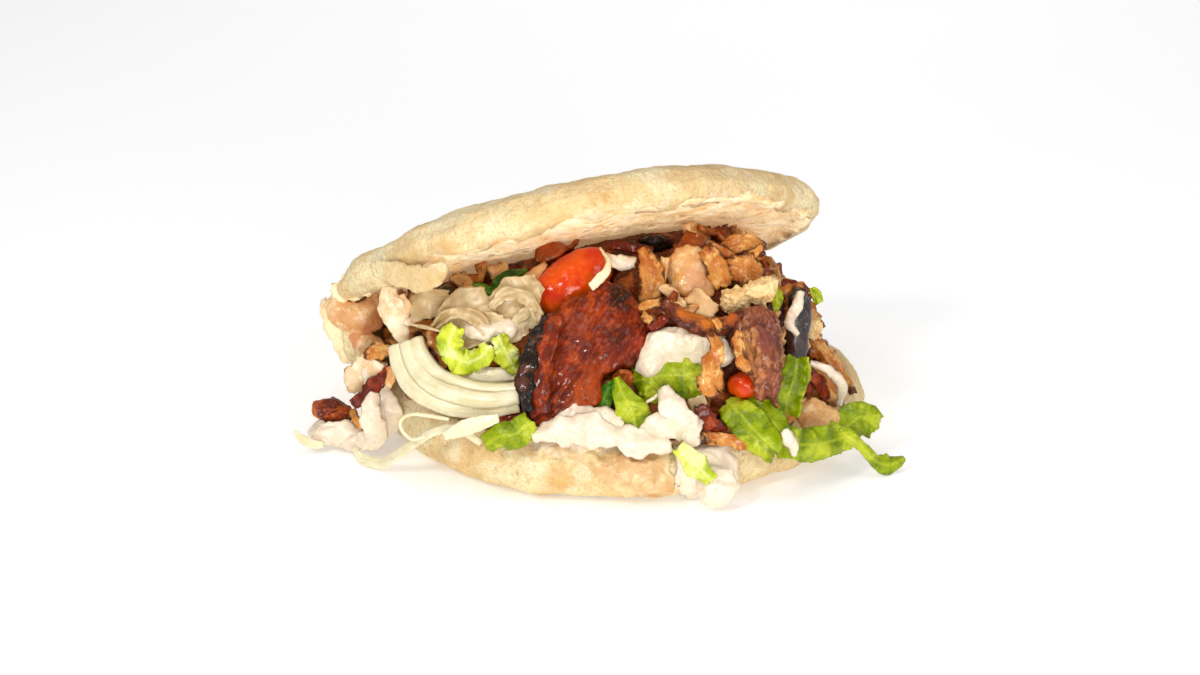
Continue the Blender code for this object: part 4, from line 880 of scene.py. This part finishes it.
# %% fill in with crisp, pale and brown shavings
laid("crisp_shavings", tan, "tan_meat", [
    ([(28, -38, 78.5), (33.5, -37, 77), (38.5, -37, 73.5)], (2, 4, 3)),
    ([(34, -33, 75), (41, -32, 78), (48.5, -30, 74.5)], (4.5, 8, 4.5)),
    ([(38.5, -36, 72), (44, -36, 74.5), (48.5, -34, 77.5)], (2, 4, 1.5)),
    ([(4, -60, 64), (8, -61, 65.5), (12.5, -60, 66)], (2, 4, 3)),
    ([(5.5, -62, 62.5), (9, -63, 60)], (3, 3.5)),
    ([(26.5, -80, 24), (37.5, -79, 22.5), (49, -76, 19)], (3.5, 6, 3)),
    ([(33.5, -76, 26), (41, -77, 23.5), (49.5, -74, 20.5)], (2, 5, 2)),
    ([(-92, -38, 37.5), (-87.5, -40, 40), (-82.5, -41, 41)], (3.5, 6, 4)),
    ([(-97.5, -37, 19), (-93, -40, 22.5), (-88.5, -42, 24.5)], (2.5, 3.5, 2.5)),
    ([(-97.5, -36, 16), (-96, -40, 14), (-93, -42, 11.5)], (2, 3.5, 2)),
    ([(52, -62, 31.5), (55.5, -63, 28), (58.5, -62, 22.5)], (4, 6, 3)),
    ([(29.5, -73, 65.5), (32, -74, 61)], (2, 3)),
], thickness=1.2, ragged=0.3, ruffle=1.2, crumple=0.8, wave=13.0)
laid("pale_shavings", pale, "pale_meat", [
    ([(14, -39, 75), (12, -43, 69), (11, -46, 62)], (3, 4, 3.5)),
    ([(-37, -36, 59), (-33, -36, 66), (-28, -34, 71)], (3, 5, 2)),
    ([(-83, -44, 36), (-82.5, -45, 32.5), (-84, -45, 29)], (2.5, 3.5, 2.5)),
], thickness=1.3, ragged=0.2, ruffle=1.0, wave=13.0)
laid("brown_shavings", browned, "browned_meat", [
    ([(56.5, -42, 31.5), (62, -42, 28.5), (66, -40, 24.5)], (3.5, 4.5, 3)),
    ([(64, -38, 33), (68.5, -38, 27.5), (72, -36, 20.5)], (3, 5, 3)),
    ([(55.5, -28, 61.5), (60.5, -30, 59.5), (65, -30, 55.5)], (3, 5.5, 3.5)),
    ([(-5, -30, 76), (2.5, -30, 75.5), (9.5, -30, 74.5)], (2, 4, 2)),
    ([(8, -62, 57), (11.5, -62, 59), (14.5, -62, 61.5)], (3, 4, 2)),
    ([(-64.5, -40, 48), (-63, -42, 42.5), (-61, -43, 35.5)], (2.5, 3.5, 3)),
], thickness=1.4, ragged=0.3, ruffle=1.0, crumple=0.8, wave=12.0)


# %% [markdown]
# ## Lettuce and herbs
# A lettuce leaf is thin and wavy, bright yellow-green, paler along its rib, with side veins that leave the
# rib slantwise. The sheet's own coordinates carry the veins: how far along and across each point lies.

# %% leaves
def leaf_finish(name, pale, bright, dark):
    f = Finish(name)
    grain = f.grain()
    along, across = f.part(grain, "X"), abs(f.part(grain, "Y"))
    slant = (along - across * 0.9 + f.noise(3.0) * 1.5) * (math.tau / 3.6)
    veins = f.ramp(slant.sine(), 0.86, 1.0)
    rib = 1 - f.ramp(across, 0.2, 0.9)
    clouds = f.noise(7.0, detail=4)
    fine = f.noise(1.2, detail=3)
    colour = f.blend(f.ramp(clouds, 0.42, 0.62) * 0.8, bright, dark)
    colour = f.blend(f.ramp(f.noise(11.0, detail=4), 0.5, 0.62) * 0.7, colour, pale)
    colour = f.blend(f.ramp(f.noise(2.2, detail=4), 0.54, 0.68) * 0.35, colour, dark)
    colour = f.blend(veins * 0.12, colour, pale)
    colour = f.blend(rib * 0.35, colour, pale)
    skin = f.bump(veins + rib, 0.12)
    skin = f.bump(clouds, 1.0, skin)
    skin = f.bump(fine, 0.2, skin)
    return f.done(colour, fine * 0.2 + 0.15, skin, Subsurface_Weight=0.15, Specular_IOR_Level=0.25,
                  Subsurface_Radius=(0.001, 0.0016, 0.0003))


# %% lay the leaves at the right
lettuce = leaf_finish("lettuce", rgb(192, 200, 48), rgb(138, 156, 0), rgb(84, 106, 0))
curl_green = leaf_finish("lettuce_heart", rgb(240, 240, 176), rgb(208, 216, 60), rgb(158, 180, 10))
dark_green = leaf_finish("dark_leaf", rgb(120, 164, 40), rgb(52, 112, 14), rgb(20, 66, 6))
LEAF = dict(thickness=0.6, ruffle=2.6, crumple=1.1, ragged=0.12, cell=0.7, wave=17.0)
laid("lettuce_right_shown", lettuce, "lettuce", [
    ([(34.5, -71, 34), (39.5, -76, 30.5), (45, -80, 25.5), (52, -82, 19.5)], (9, 12, 13, 9)),
    ([(39.5, -66, 33), (47.5, -72, 30), (54, -77, 23.5)], (8, 12, 8)),
], nodes=("lettuce_right",), cup=1.5, **LEAF)
laid("lettuce_rib_shown", lettuce, "lettuce", [
    ([(52.5, -79, 22.5), (59.5, -78, 20.5), (69, -70, 18), (78.5, -60, 16.5)], (11, 12, 11, 9)),
], nodes=("lettuce_rib",), face=(0.4, -1, 0.45), cup=1.5, **LEAF)
laid("lettuce_upright_shown", lettuce, "lettuce", [
    ([(59.5, -58, 45), (58.5, -61, 39), (56, -63, 32.5), (55.5, -64, 26)], (7, 11, 11, 8)),
], nodes=("lettuce_upright",), cup=-2.0, **LEAF)
laid("lettuce_curly_shown", lettuce, "lettuce", [
    ([(72.5, -53, 11), (78, -50, 15.5), (83.5, -47, 18), (89.5, -45, 13)], (8, 12, 12, 9)),
], nodes=("lettuce_curly",), cup=1.0, **LEAF)
laid("rocket_strip_shown", lettuce, "lettuce", [
    ([(70.5, -60, 19.5), (76.5, -62, 17.5), (82.5, -62, 13), (88, -60, 6.5), (93, -57, 4), (98.5, -54, 5)],
     (5, 5, 3, 3.5, 7.5, 1.5)),
], nodes=("rocket_strip",), thickness=0.9, cup=1.0, ruffle=0.4, crumple=0.3, ragged=0.12)
laid("lettuce_under_sauce_shown", lettuce, "lettuce", [
    ([(2.5, -68, 40), (11.5, -71, 43), (22, -72, 44), (31, -70, 44)], (11, 13, 12, 8)),
    ([(5, -70, 36), (14.5, -72, 39), (25, -73, 41)], (8, 10, 7)),
], nodes=("lettuce_under_sauce",), cup=1.5, **LEAF)
laid("lettuce_fold_shown", lettuce, "lettuce", [
    ([(-3.5, -79, 46), (-1.5, -81, 41), (2, -83, 34.5), (2.5, -85, 29), (-2, -86, 25.5)], (2, 7, 11, 10, 4)),
], nodes=("lettuce_fold",), cup=1.2, **LEAF)
# A dark leaf sheet laid beside the lettuce fold stands for the fold's shade: painted shade.
laid("lettuce_fold_shade", dark_green, "dark_leaf", [
    ([(-9.5, -77, 31.5), (-7.5, -77, 37.5), (-4.5, -77, 44)], (5, 7, 2)),
], **LEAF)

# %% lay the leaves at the left and the scraps
laid("lettuce_left_shown", lettuce, "lettuce", [
    ([(-48, -84, 23), (-43, -86, 27), (-37.5, -86, 28), (-32.5, -84, 32)], (6, 9, 10, 7)),
], nodes=("lettuce_left",), cup=1.0, **LEAF)
laid("lettuce_on_drip_shown", curl_green, "lettuce", [
    ([(17.5, -91, 25), (23, -94, 20.5), (29, -95, 14.5)], (3.5, 9.5, 3.5)),
], nodes=("lettuce_on_drip",), **LEAF)
laid("lettuce_curls_shown", curl_green, "lettuce", [
    ([(-59, -58, 56.5), (-61, -61, 50.5), (-56.5, -61, 44.5), (-50.5, -61, 46), (-46.5, -60, 50)],
     (7, 9, 9, 8, 5)),
    ([(-44, -60, 53.5), (-41.5, -61, 48), (-37.5, -61, 40)], (5, 9, 5)),
], nodes=("lettuce_curls",), cup=1.2, thickness=0.6, ruffle=3.0, crumple=1.6, ragged=0.2, cell=0.7)
laid("leaf_dark_top_shown", dark_green, "dark_leaf", [
    ([(-54, -32, 62.5), (-47.5, -35, 60.5), (-42, -35, 64.5), (-34.5, -32, 67.5)], (2, 7, 7.5, 1.5)),
], nodes=("leaf_dark_top",), cup=1.5, **LEAF)
laid("lettuce_scraps", lettuce, "lettuce", [
    ([(52.5, -40, 64.5), (53, -41, 60), (52.5, -41, 55.5)], (2.5, 4.5, 1.5)),
    ([(66, -24, 58), (68, -25, 55.5), (69, -26, 53)], (2, 4, 3)),
], **LEAF)


# %% [markdown]
# ## Onion and cabbage
# Raw onion layers are thick, wet and see-through, with fine lines running along them; the front one is two
# layers nested in each other, with a groove between. Cabbage is thinner and creamier, in stiff bent sheets.

# %% onion and cabbage
def layer_finish(name, pale, warm, tint, lines_apart):
    f = Finish(name)
    lines = f.noise(lines_apart, f.times(f.grain(), (0.06, 1.0, 0.3)), detail=3)
    clouds = f.noise(8.0, detail=3)
    colour = f.blend(f.ramp(clouds, 0.3, 0.7), pale, warm)
    colour = f.blend(f.ramp(lines, 0.48, 0.66) * 0.4, colour, tint)
    skin = f.bump(lines, 0.22)
    skin = f.bump(f.noise(2.5), 0.25, skin)
    return f.done(colour, f.noise(3.0) * 0.2 + 0.2, skin, Subsurface_Weight=0.3,
                  Subsurface_Radius=(0.004, 0.0036, 0.0022), Coat_Weight=0.2, Coat_Roughness=0.12)


# %% the onion layers
ONION_PATHS = {
    "onion_thin_layer": [(-60.5, -54, 43), (-55, -58, 39.5), (-47, -60, 38.5), (-38, -60, 39.5)],
    "onion_long_strand": [(-96.5, -46, 6), (-93.5, -49, 2.8), (-86.5, -54, 3.2), (-80.5, -60, 8.5),
                          (-73.5, -67, 16.5), (-66.5, -73.5, 23.5), (-60, -77, 26.2), (-54.5, -79.5, 25.5),
                          (-49.5, -82, 22.5)],
    "onion_looped_strand": [(-60.5, -74.5, 28.6), (-66, -73.6, 29.2), (-72.5, -71, 29.2), (-77, -69.5, 27),
                            (-77.6, -70.5, 23), (-73.5, -73.5, 20.5), (-69, -76, 22.8)],
}
onion_skin = layer_finish("onion", rgb(236, 227, 196), rgb(222, 210, 168), rgb(198, 190, 140), 0.8)
cabbage_skin = layer_finish("cabbage", rgb(224, 204, 162), rgb(184, 154, 104), rgb(166, 134, 86), 1.8)
for name, path in ONION_PATHS.items():
    layer = moulded(name, 0.4, relax=9)
    push(layer, 9.0, 0.5, sideways=True, seed=next(SEEDS))
    lay_grain(layer, path)
    serve(layer, onion_skin, "onion", name)
laid("onion_thick_layer_shown", onion_skin, "onion", [
    ([(-80, -50, 46.5), (-78, -55, 40.5), (-73, -62, 35), (-62, -68, 31.5), (-49, -71, 31), (-37, -72, 33)],
     (5, 6, 6.5, 6, 5, 4)),
    ([(-76.5, -52, 48.5), (-74, -57, 42.5), (-68, -64, 37.5), (-58, -70, 35.5), (-47, -73, 35),
      (-37, -73, 36.5)], (4, 5, 5, 5, 4.5, 4)),
    ([(-73, -51, 49.5), (-70.5, -56, 44), (-64.5, -62, 39.5), (-55, -67, 37.5), (-45.5, -70, 37.5),
      (-37, -71, 38.5)], (3, 4.5, 4.5, 4, 3.5, 3)),
], nodes=("onion_thick_layer",), thickness=2.2, cup=1.4, ragged=0.03, crumple=0.25)

# %% lay the cabbage
SHRED = dict(thickness=0.9, ragged=0.1, crumple=0.6, cell=0.7, wave=16.0)
for name in ("cabbage_shreds", "cabbage_on_tomato"):
    layer = moulded(name, 0.4, relax=6)
    push(layer, 6.0, 0.8, sideways=True, seed=next(SEEDS))
    lay_grain(layer)
    serve(layer, onion_skin, "cabbage", name)
laid("cabbage_tail_shown", onion_skin, "cabbage", [
    ([(-118.5, -36, 8), (-116, -37, 5.5), (-112, -38, 3.8), (-108, -38, 3.5)], (1, 3.5, 3.5, 2)),
], nodes=("cabbage_tail",), **SHRED)
laid("cabbage_patch_shown", cabbage_skin, "cabbage", [
    ([(-77, -41, 54), (-70, -43, 59), (-61.5, -41, 59)], (6, 11, 7.5)),
], nodes=("cabbage_patch",), cup=1.5, **SHRED)
laid("cabbage_sheet_left_shown", cabbage_skin, "cabbage", [
    ([(-63.5, -48, 49.5), (-57, -50, 58.5), (-47.5, -47, 62)], (5, 13, 15, 9)),
    ([(-60.5, -50, 46.5), (-50.5, -52, 53), (-42, -52, 55.5)], (5, 10, 11, 6)),
    ([(-66, -51, 54), (-60, -53, 59.5), (-52, -53, 57.5), (-47, -53, 51)], (2, 4, 5, 3)),
], nodes=("cabbage_sheet_left",), cup=-1.6, ruffle=2.6, **SHRED)
laid("cabbage_sheet_right_shown", cabbage_skin, "cabbage", [
    ([(-48, -48, 52.5), (-39.5, -50, 62), (-30, -47, 68.5)], (5, 14, 16, 6)),
    ([(-47, -52, 61), (-41, -53, 66.5), (-34, -53, 64.5), (-30, -53, 57.5)], (2, 4, 5, 3)),
    ([(-42, -54, 50.5), (-36, -54, 55), (-30.5, -52, 61.5)], (5.5, 9.5, 5)),
], nodes=("cabbage_sheet_right",), cup=-1.2, ruffle=2.6, **SHRED)
laid("cabbage_scraps", cabbage_skin, "cabbage", [
    ([(21, -70, 40), (24, -72, 35.5), (25.5, -74, 30)], (3, 6, 5.5)),
    ([(-75, -50, 54), (-69.5, -54, 54.5), (-63.5, -56, 53.5)], (0.5, 1.5, 0.5)),
    ([(-77.5, -30, 57.5), (-77, -30, 61), (-75, -31, 60.5), (-76, -31, 57)], (0.5, 1, 1, 0.5)),
], **SHRED)
laid("onion_scraps", onion_skin, "onion", [
    ([(-62.5, -80, 24.5), (-53.5, -82, 29), (-43.5, -82, 32)], (3, 6, 3)),
], thickness=0.8, ragged=0.1, crumple=0.8)


# %% [markdown]
# ## Tomato and aubergine
# Tomato skin is smooth and shines; its cut flesh is wetter and paler. Aubergine and olive are nearly black.

# %% tomato and aubergine
def tomato_finish():
    f = Finish("tomato")
    clouds = f.noise(9.0, detail=3)
    fine = f.noise(1.5, detail=3)
    colour = f.blend(f.ramp(clouds, 0.35, 0.65), rgb(222, 84, 6), rgb(202, 44, 4))
    colour = f.blend(f.ramp(fine, 0.58, 0.7) * 0.3, colour, rgb(246, 140, 56))
    skin = f.bump(f.noise(5.0), 0.5)
    skin = f.bump(fine, 0.08, skin)
    return f.done(colour, fine * 0.12 + 0.1, skin, Subsurface_Weight=0.15, Specular_IOR_Level=0.25,
                  Subsurface_Radius=(0.006, 0.002, 0.001), Coat_Weight=0.25, Coat_Roughness=0.05)


def aubergine_finish():
    f = Finish("aubergine")
    clouds = f.noise(4.0, detail=4)
    colour = f.blend(f.ramp(clouds, 0.4, 0.7), rgb(30, 18, 20), rgb(74, 42, 38))
    skin = f.bump(clouds, 0.6)
    skin = f.bump(f.noise(1.0), 0.15, skin)
    return f.done(colour, clouds * 0.3 + 0.15, skin, Coat_Weight=0.3, Coat_Roughness=0.12)


def flesh_finish():
    """The cut side of the aubergine: brown and see-through."""
    f = Finish("aubergine_flesh")
    clouds = f.noise(4.0, detail=4)
    colour = f.blend(f.ramp(clouds, 0.4, 0.66), rgb(112, 84, 44), rgb(58, 40, 24))
    skin = f.bump(f.noise(2.0), 0.4)
    return f.done(colour, clouds * 0.2 + 0.1, skin, Subsurface_Weight=0.2,
                  Subsurface_Radius=(0.004, 0.002, 0.001), Coat_Weight=0.4, Coat_Roughness=0.1)


# %% shape tomato, aubergine and olive
tomato_skin = tomato_finish()
aubergine_skin = aubergine_finish()
for name, finish, slot in (("tomato_wedge", tomato_skin, "tomato"), ("tomato_bit", tomato_skin, "tomato"),
                           ("aubergine_slice", flesh_finish(), "aubergine"),
                           ("aubergine_strip", aubergine_skin, "aubergine"),
                           ("olive_piece", aubergine_skin, "aubergine")):
    chunk = moulded(name, 0.5, relax=10)
    push(chunk, 8.0, 0.7, seed=next(SEEDS))
    lay_grain(chunk)
    serve(chunk, finish, slot, name)


# %% [markdown]
# ## Garlic sauce and cheese
# The sauce is thick and creamy: soft folds with no sharp edge, satin and slightly see-through, with flecks of
# herb and pepper. Over the bread's rim it thins out to a film that lets the crust through. The cheese is
# crumbly, so its surface breaks into small grains.

# %% sauce and cheese
def sauce_finish(name, thin_below=None):
    """Cream with herbs and pepper. Below the height thin_below, in millimetres, the crust shows through."""
    f = Finish(name)
    clouds = f.noise(8.0, detail=4)
    colour = f.blend(f.ramp(clouds, 0.35, 0.7), rgb(238, 222, 200), rgb(222, 203, 177))
    colour = f.blend(f.ramp(f.noise(11.0), 0.52, 0.68) * 0.4, colour, rgb(212, 202, 160))
    colour = f.blend(f.ramp(f.noise(5.0, detail=4), 0.56, 0.7) * 0.35, colour, rgb(214, 178, 156))
    if thin_below is not None:
        height = f.part(f.place, "Z") + (f.noise(7.0, detail=5) - 0.5) * 22
        film = 1 - f.ramp(height, thin_below - 3, thin_below + 3)
        crust = f.blend(f.ramp(f.noise(9.0, detail=5), 0.4, 0.62), rgb(222, 192, 136), rgb(204, 156, 92))
        colour = f.blend(film * 0.85, f.blend(0.4, colour, rgb(214, 192, 152)), crust)
    herbs = f.flecks(3.4, 0.24) * f.ramp(f.noise(6.0), 0.4, 0.55)
    colour = f.blend(herbs * 0.8, colour, rgb(92, 96, 52))
    pepper = f.flecks(5.1, 0.22, f.add("ShaderNodeVectorMath", (f.place, (31, 7, 3)), operation="ADD"))
    colour = f.blend(pepper * 0.8, colour, rgb(96, 60, 40))
    skin = f.bump(clouds, 1.0)
    skin = f.bump(f.noise(1.6, detail=3), 0.16, skin)
    return f.done(colour, f.noise(4.0) * 0.2 + 0.18, skin, Subsurface_Weight=0.25, Specular_IOR_Level=0.5,
                  Subsurface_Radius=(0.004, 0.003, 0.002), Coat_Weight=0.15, Coat_Roughness=0.15)


def cheese_finish():
    f = Finish("cheese")
    grains = f.cells(1.2)
    colour = f.blend(f.ramp(f.noise(4.0, detail=4), 0.4, 0.7), rgb(244, 212, 152), rgb(220, 172, 108))
    skin = f.bump(grains, 0.5)
    skin = f.bump(f.noise(2.5, detail=4), 0.7, skin)
    return f.done(colour, 0.7, skin, Subsurface_Weight=0.1, Subsurface_Radius=(0.003, 0.002, 0.001))


# %% shape the thick sauce
sauce_skin = sauce_finish("garlic_sauce")
thin_sauce = sauce_finish("thin_sauce", thin_below=21.0)
cheese_skin = cheese_finish()
for name in ("sauce_blob", "sauce_on_cabbage", "sauce_on_rim", "sauce_drip", "spill_sauced_bit"):
    sauce = moulded(name, 0.55, relax=18)
    push(sauce, 11.0, 1.3, seed=next(SEEDS))
    push(sauce, 7.0, 1.6, sideways=True, seed=next(SEEDS))
    push(sauce, 4.5, 0.4, seed=next(SEEDS))
    lay_grain(sauce)
    serve(sauce, thin_sauce if name == "sauce_on_rim" else sauce_skin, "garlic_sauce", name)

# %% lay the thin sauce
laid("sauced_chicken_shown", sauce_skin, "garlic_sauce", [
    ([(3.5, -85, 28.5), (11, -86, 31), (19, -85, 31), (25, -83, 27)], (2, 8, 11, 7)),
    ([(12.5, -80, 43), (15, -84, 38), (20, -85, 30)], (3, 9, 7)),
    ([(15, -83, 33), (20, -84, 29), (24, -84, 23)], (4, 6, 3)),
], nodes=("sauced_chicken",), thickness=1.4, cup=1.5, ruffle=1.6, ragged=0.12, crumple=1.3, wave=14.0)
laid("sauce_smear", sauce_skin, "garlic_sauce", [
    ([(-32, -86, 27), (-24, -87, 29.5), (-13.5, -88, 30), (-3.5, -89, 28), (6.5, -89, 25.5), (15, -89, 25)],
     (4, 9, 12, 7, 10, 4)),
    ([(-22.5, -80, 32), (-12.5, -83, 32.5), (-1.5, -85, 31)], (6, 9, 6)),
], thickness=1.1, cup=2.0, ruffle=1.2, ragged=0.28, crumple=1.3, wave=13.0)
laid("sauce_dabs", sauce_skin, "garlic_sauce", [
    ([(61, -46, 65), (59.5, -48, 60), (57.5, -48, 54), (60, -47, 49)], (2, 3.5, 3.5, 1.5)),
    ([(65.5, -42, 36.5), (72.5, -40, 32.5), (77, -38, 25.5), (76, -38, 18.5)], (1.5, 3, 3.5, 2)),
    ([(54, -82, 27.5), (56.5, -83, 23), (57.5, -83, 18.5)], (3, 4, 2)),
    ([(-88, -44, 25.5), (-90, -47, 23), (-89.5, -48, 17), (-88, -46, 9.5), (-90, -44, 4.5)], (4, 7, 8, 7, 3)),
    ([(-91, -39, 34), (-88, -40, 27), (-85, -41, 18), (-84, -42, 9)], (5, 9, 10, 7)),
    ([(-111.5, -35, 4.5), (-105.5, -38, 8), (-100, -39, 8.5), (-95.5, -39, 5.5)], (6, 9, 8, 4)),
    ([(-96, -41, 7.5), (-91.5, -43, 7), (-89, -44, 5)], (5, 7, 4)),
    ([(-7.5, -38, 74.5), (-2, -40, 73.5), (3.5, -40, 73.5)], (3, 5, 3)),
], thickness=1.0, cup=1.0, ruffle=1.2, ragged=0.25, crumple=0.9, wave=12.0)

# %% break up the cheese
for name in ("cheese_crumble", "cheese_bit_right"):
    cheese = moulded(name, 0.4, relax=4)
    push(cheese, 2.4, 0.9, sharp=True, seed=next(SEEDS))
    lay_grain(cheese)
    serve(cheese, cheese_skin, "cheese", name)

# %% [markdown]
# ## The heap of shredded meat
# Behind everything the pocket is full of small shreds. Its core is the frame's mound, dark in its gaps. Over
# it go loose shreds: four are modelled once and copied, each copy with its own size, turn and tone. A place
# for a copy is drawn at random on the mound's skin, and kept only where nothing stands close in front and
# where it can be seen from outside.

# %% the core of the heap
heap = moulded("meat_heap", 0.9, relax=4)
push(heap, 5.0, 1.2, seed=90, detail=3)
push(heap, 2.0, 0.5, seed=91)
lay_grain(heap)
HEAP_BROWN = (rgb(170, 88, 30), rgb(112, 48, 16), rgb(60, 22, 8), rgb(26, 12, 8))
heap_skin = meat_finish("heap_meat", *HEAP_BROWN, 0.0, 0.1)
serve(heap, heap_skin, "shredded_meat", "meat_heap")

# %% open places on its skin
# Directions from which a place can be seen through the mouth.
GAPS_FROM = [Vector(d).normalized() for d in ((0, -1, 0.4), (0.5, -1, 0.3), (1, -0.4, 0.4), (-0.5, -1, 0.3))]


def open_places(core, count, apart, near, clear):
    """Places on the core's skin, at least apart millimetres from each other, with their outward directions.
    Nothing else lies within near millimetres of them, nor within clear millimetres straight out."""
    depsgraph = bpy.context.evaluated_depsgraph_get()
    trees = [BVHTree.FromObject(piece, depsgraph) for piece in SHOWN if piece != core]
    mesh = core.data
    faces = chance.choices(mesh.polygons, weights=[face.area for face in mesh.polygons], k=count)
    found = []
    for face in faces:
        place, outward = face.center.copy(), face.normal.copy()
        if any((place - other).length < apart * MM for other, _ in found):
            continue
        if any(tree.find_nearest(place, near * MM)[0] for tree in trees):
            continue
        if any(tree.ray_cast(place, outward, clear * MM)[0] for tree in trees):
            continue
        if any(not any(tree.ray_cast(place, way, 0.3)[0] for tree in trees) for way in GAPS_FROM):
            found.append((place, outward))
    return found


shred_places = open_places(heap, 9000, 5.2, 4.6, 7.0)
print("places for loose shreds:", len(shred_places))

# %% four kinds of shred
SHREDS = (
    ([(-4, 0, 0), (-1, 0.6, 1.8), (3.5, 0, 0)], (3, 6.5, 3)),
    ([(-4, 0, 0.5), (0, -0.8, 0), (3, 0.5, 2), (4.5, 1, 4)], (3, 5, 5.5, 2)),
    ([(-3, 0, 0), (0.5, 0.5, 1.4), (3, 0, 0)], (4, 6.5, 4)),
    ([(-5.5, 0, 1), (-2, 0.5, 0), (2, -0.5, 0.8), (5.5, 0, 2.5)], (1.5, 3.4, 3.6, 1)),
)


# %% the finish of the shreds
def shred_finish():
    """From pinkish tan through orange to dark brown: the tone of each shred is kept on it."""
    f = Finish("shredded_meat")
    fibres = f.noise(1.0, f.times(f.grain(), (0.2, 1.0, 1.0)), detail=4, swirl=0.6)
    tone = f.kept("tone") + (f.noise(3.0, detail=4) - 0.5) * 0.5
    colour = f.blend(f.ramp(tone, 0.1, 0.4), rgb(236, 194, 140), rgb(208, 138, 64))
    colour = f.blend(f.ramp(tone, 0.4, 0.7), colour, rgb(156, 68, 18))
    colour = f.blend(f.ramp(tone, 0.75, 0.95), colour, rgb(66, 28, 16))
    colour = f.blend(f.ramp(fibres, 0.52, 0.7) * 0.35, colour, rgb(228, 176, 124))
    singed = f.ramp(f.kept("rim") + (f.noise(4.0, detail=4) - 0.5) * 1.6, 0.95, 1.2)
    colour = f.blend(singed * 0.7, colour, rgb(84, 34, 10))
    skin = f.bump(fibres, 0.35)
    skin = f.bump(f.noise(0.8, detail=3), 0.2, skin)
    gleam = f.ramp(f.noise(1.5, detail=3), 0.46, 0.58)
    return f.done(colour, 0.4 - gleam * 0.2, skin, Subsurface_Weight=0.1, Specular_IOR_Level=0.15,
                  Subsurface_Radius=(0.004, 0.0015, 0.0006), Coat_Weight=gleam * 0.5, Coat_Roughness=0.08)


# %% model the four shreds
shreds = [sheet(path, widths, 0.9, face=(0, 0, 1), cup=-0.6, ruffle=1.6, ragged=0.25, crumple=0.9, cell=1.2)
          for path, widths in SHREDS]


# %% a copy at every place
def scattered(shapes, places, name, low, high, lift, lean):
    """One copy of a shape at each place, turned at random and leaning by up to lean degrees."""
    copies = []
    for place, outward in places:
        shape = chance.choice(shapes)
        copy = bpy.data.objects.new("copy", shape.data.copy())
        bpy.context.scene.collection.objects.link(copy)
        upright = outward.to_track_quat("Z", "Y").to_matrix().to_4x4()
        tilt = Matrix.Rotation(math.radians(chance.uniform(-lean, lean)), 4, "X")
        spin = Matrix.Rotation(chance.uniform(0, math.tau), 4, "Z")
        size = chance.uniform(low, high)
        step = Matrix.Translation(place + outward * lift * MM)
        copy.data.transform(step @ upright @ spin @ tilt @ Matrix.Scale(size, 4))
        store(copy, "tone", [chance.random()] * len(copy.data.vertices))
        copies.append(copy)
    return gathered(copies, name)


loose = scattered(shreds, shred_places, "loose_shreds", 1.1, 1.8, 1.0, 35)
serve(loose, shred_finish(), "shredded_meat")
for shape in shreds:
    bpy.data.objects.remove(shape)

# %% [markdown]
# ## Finish
# The number of triangles in all the finished pieces is printed.

# %% the count of triangles
print("triangles:", sum(sum(len(p.vertices) - 2 for p in o.data.polygons) for o in SHOWN))
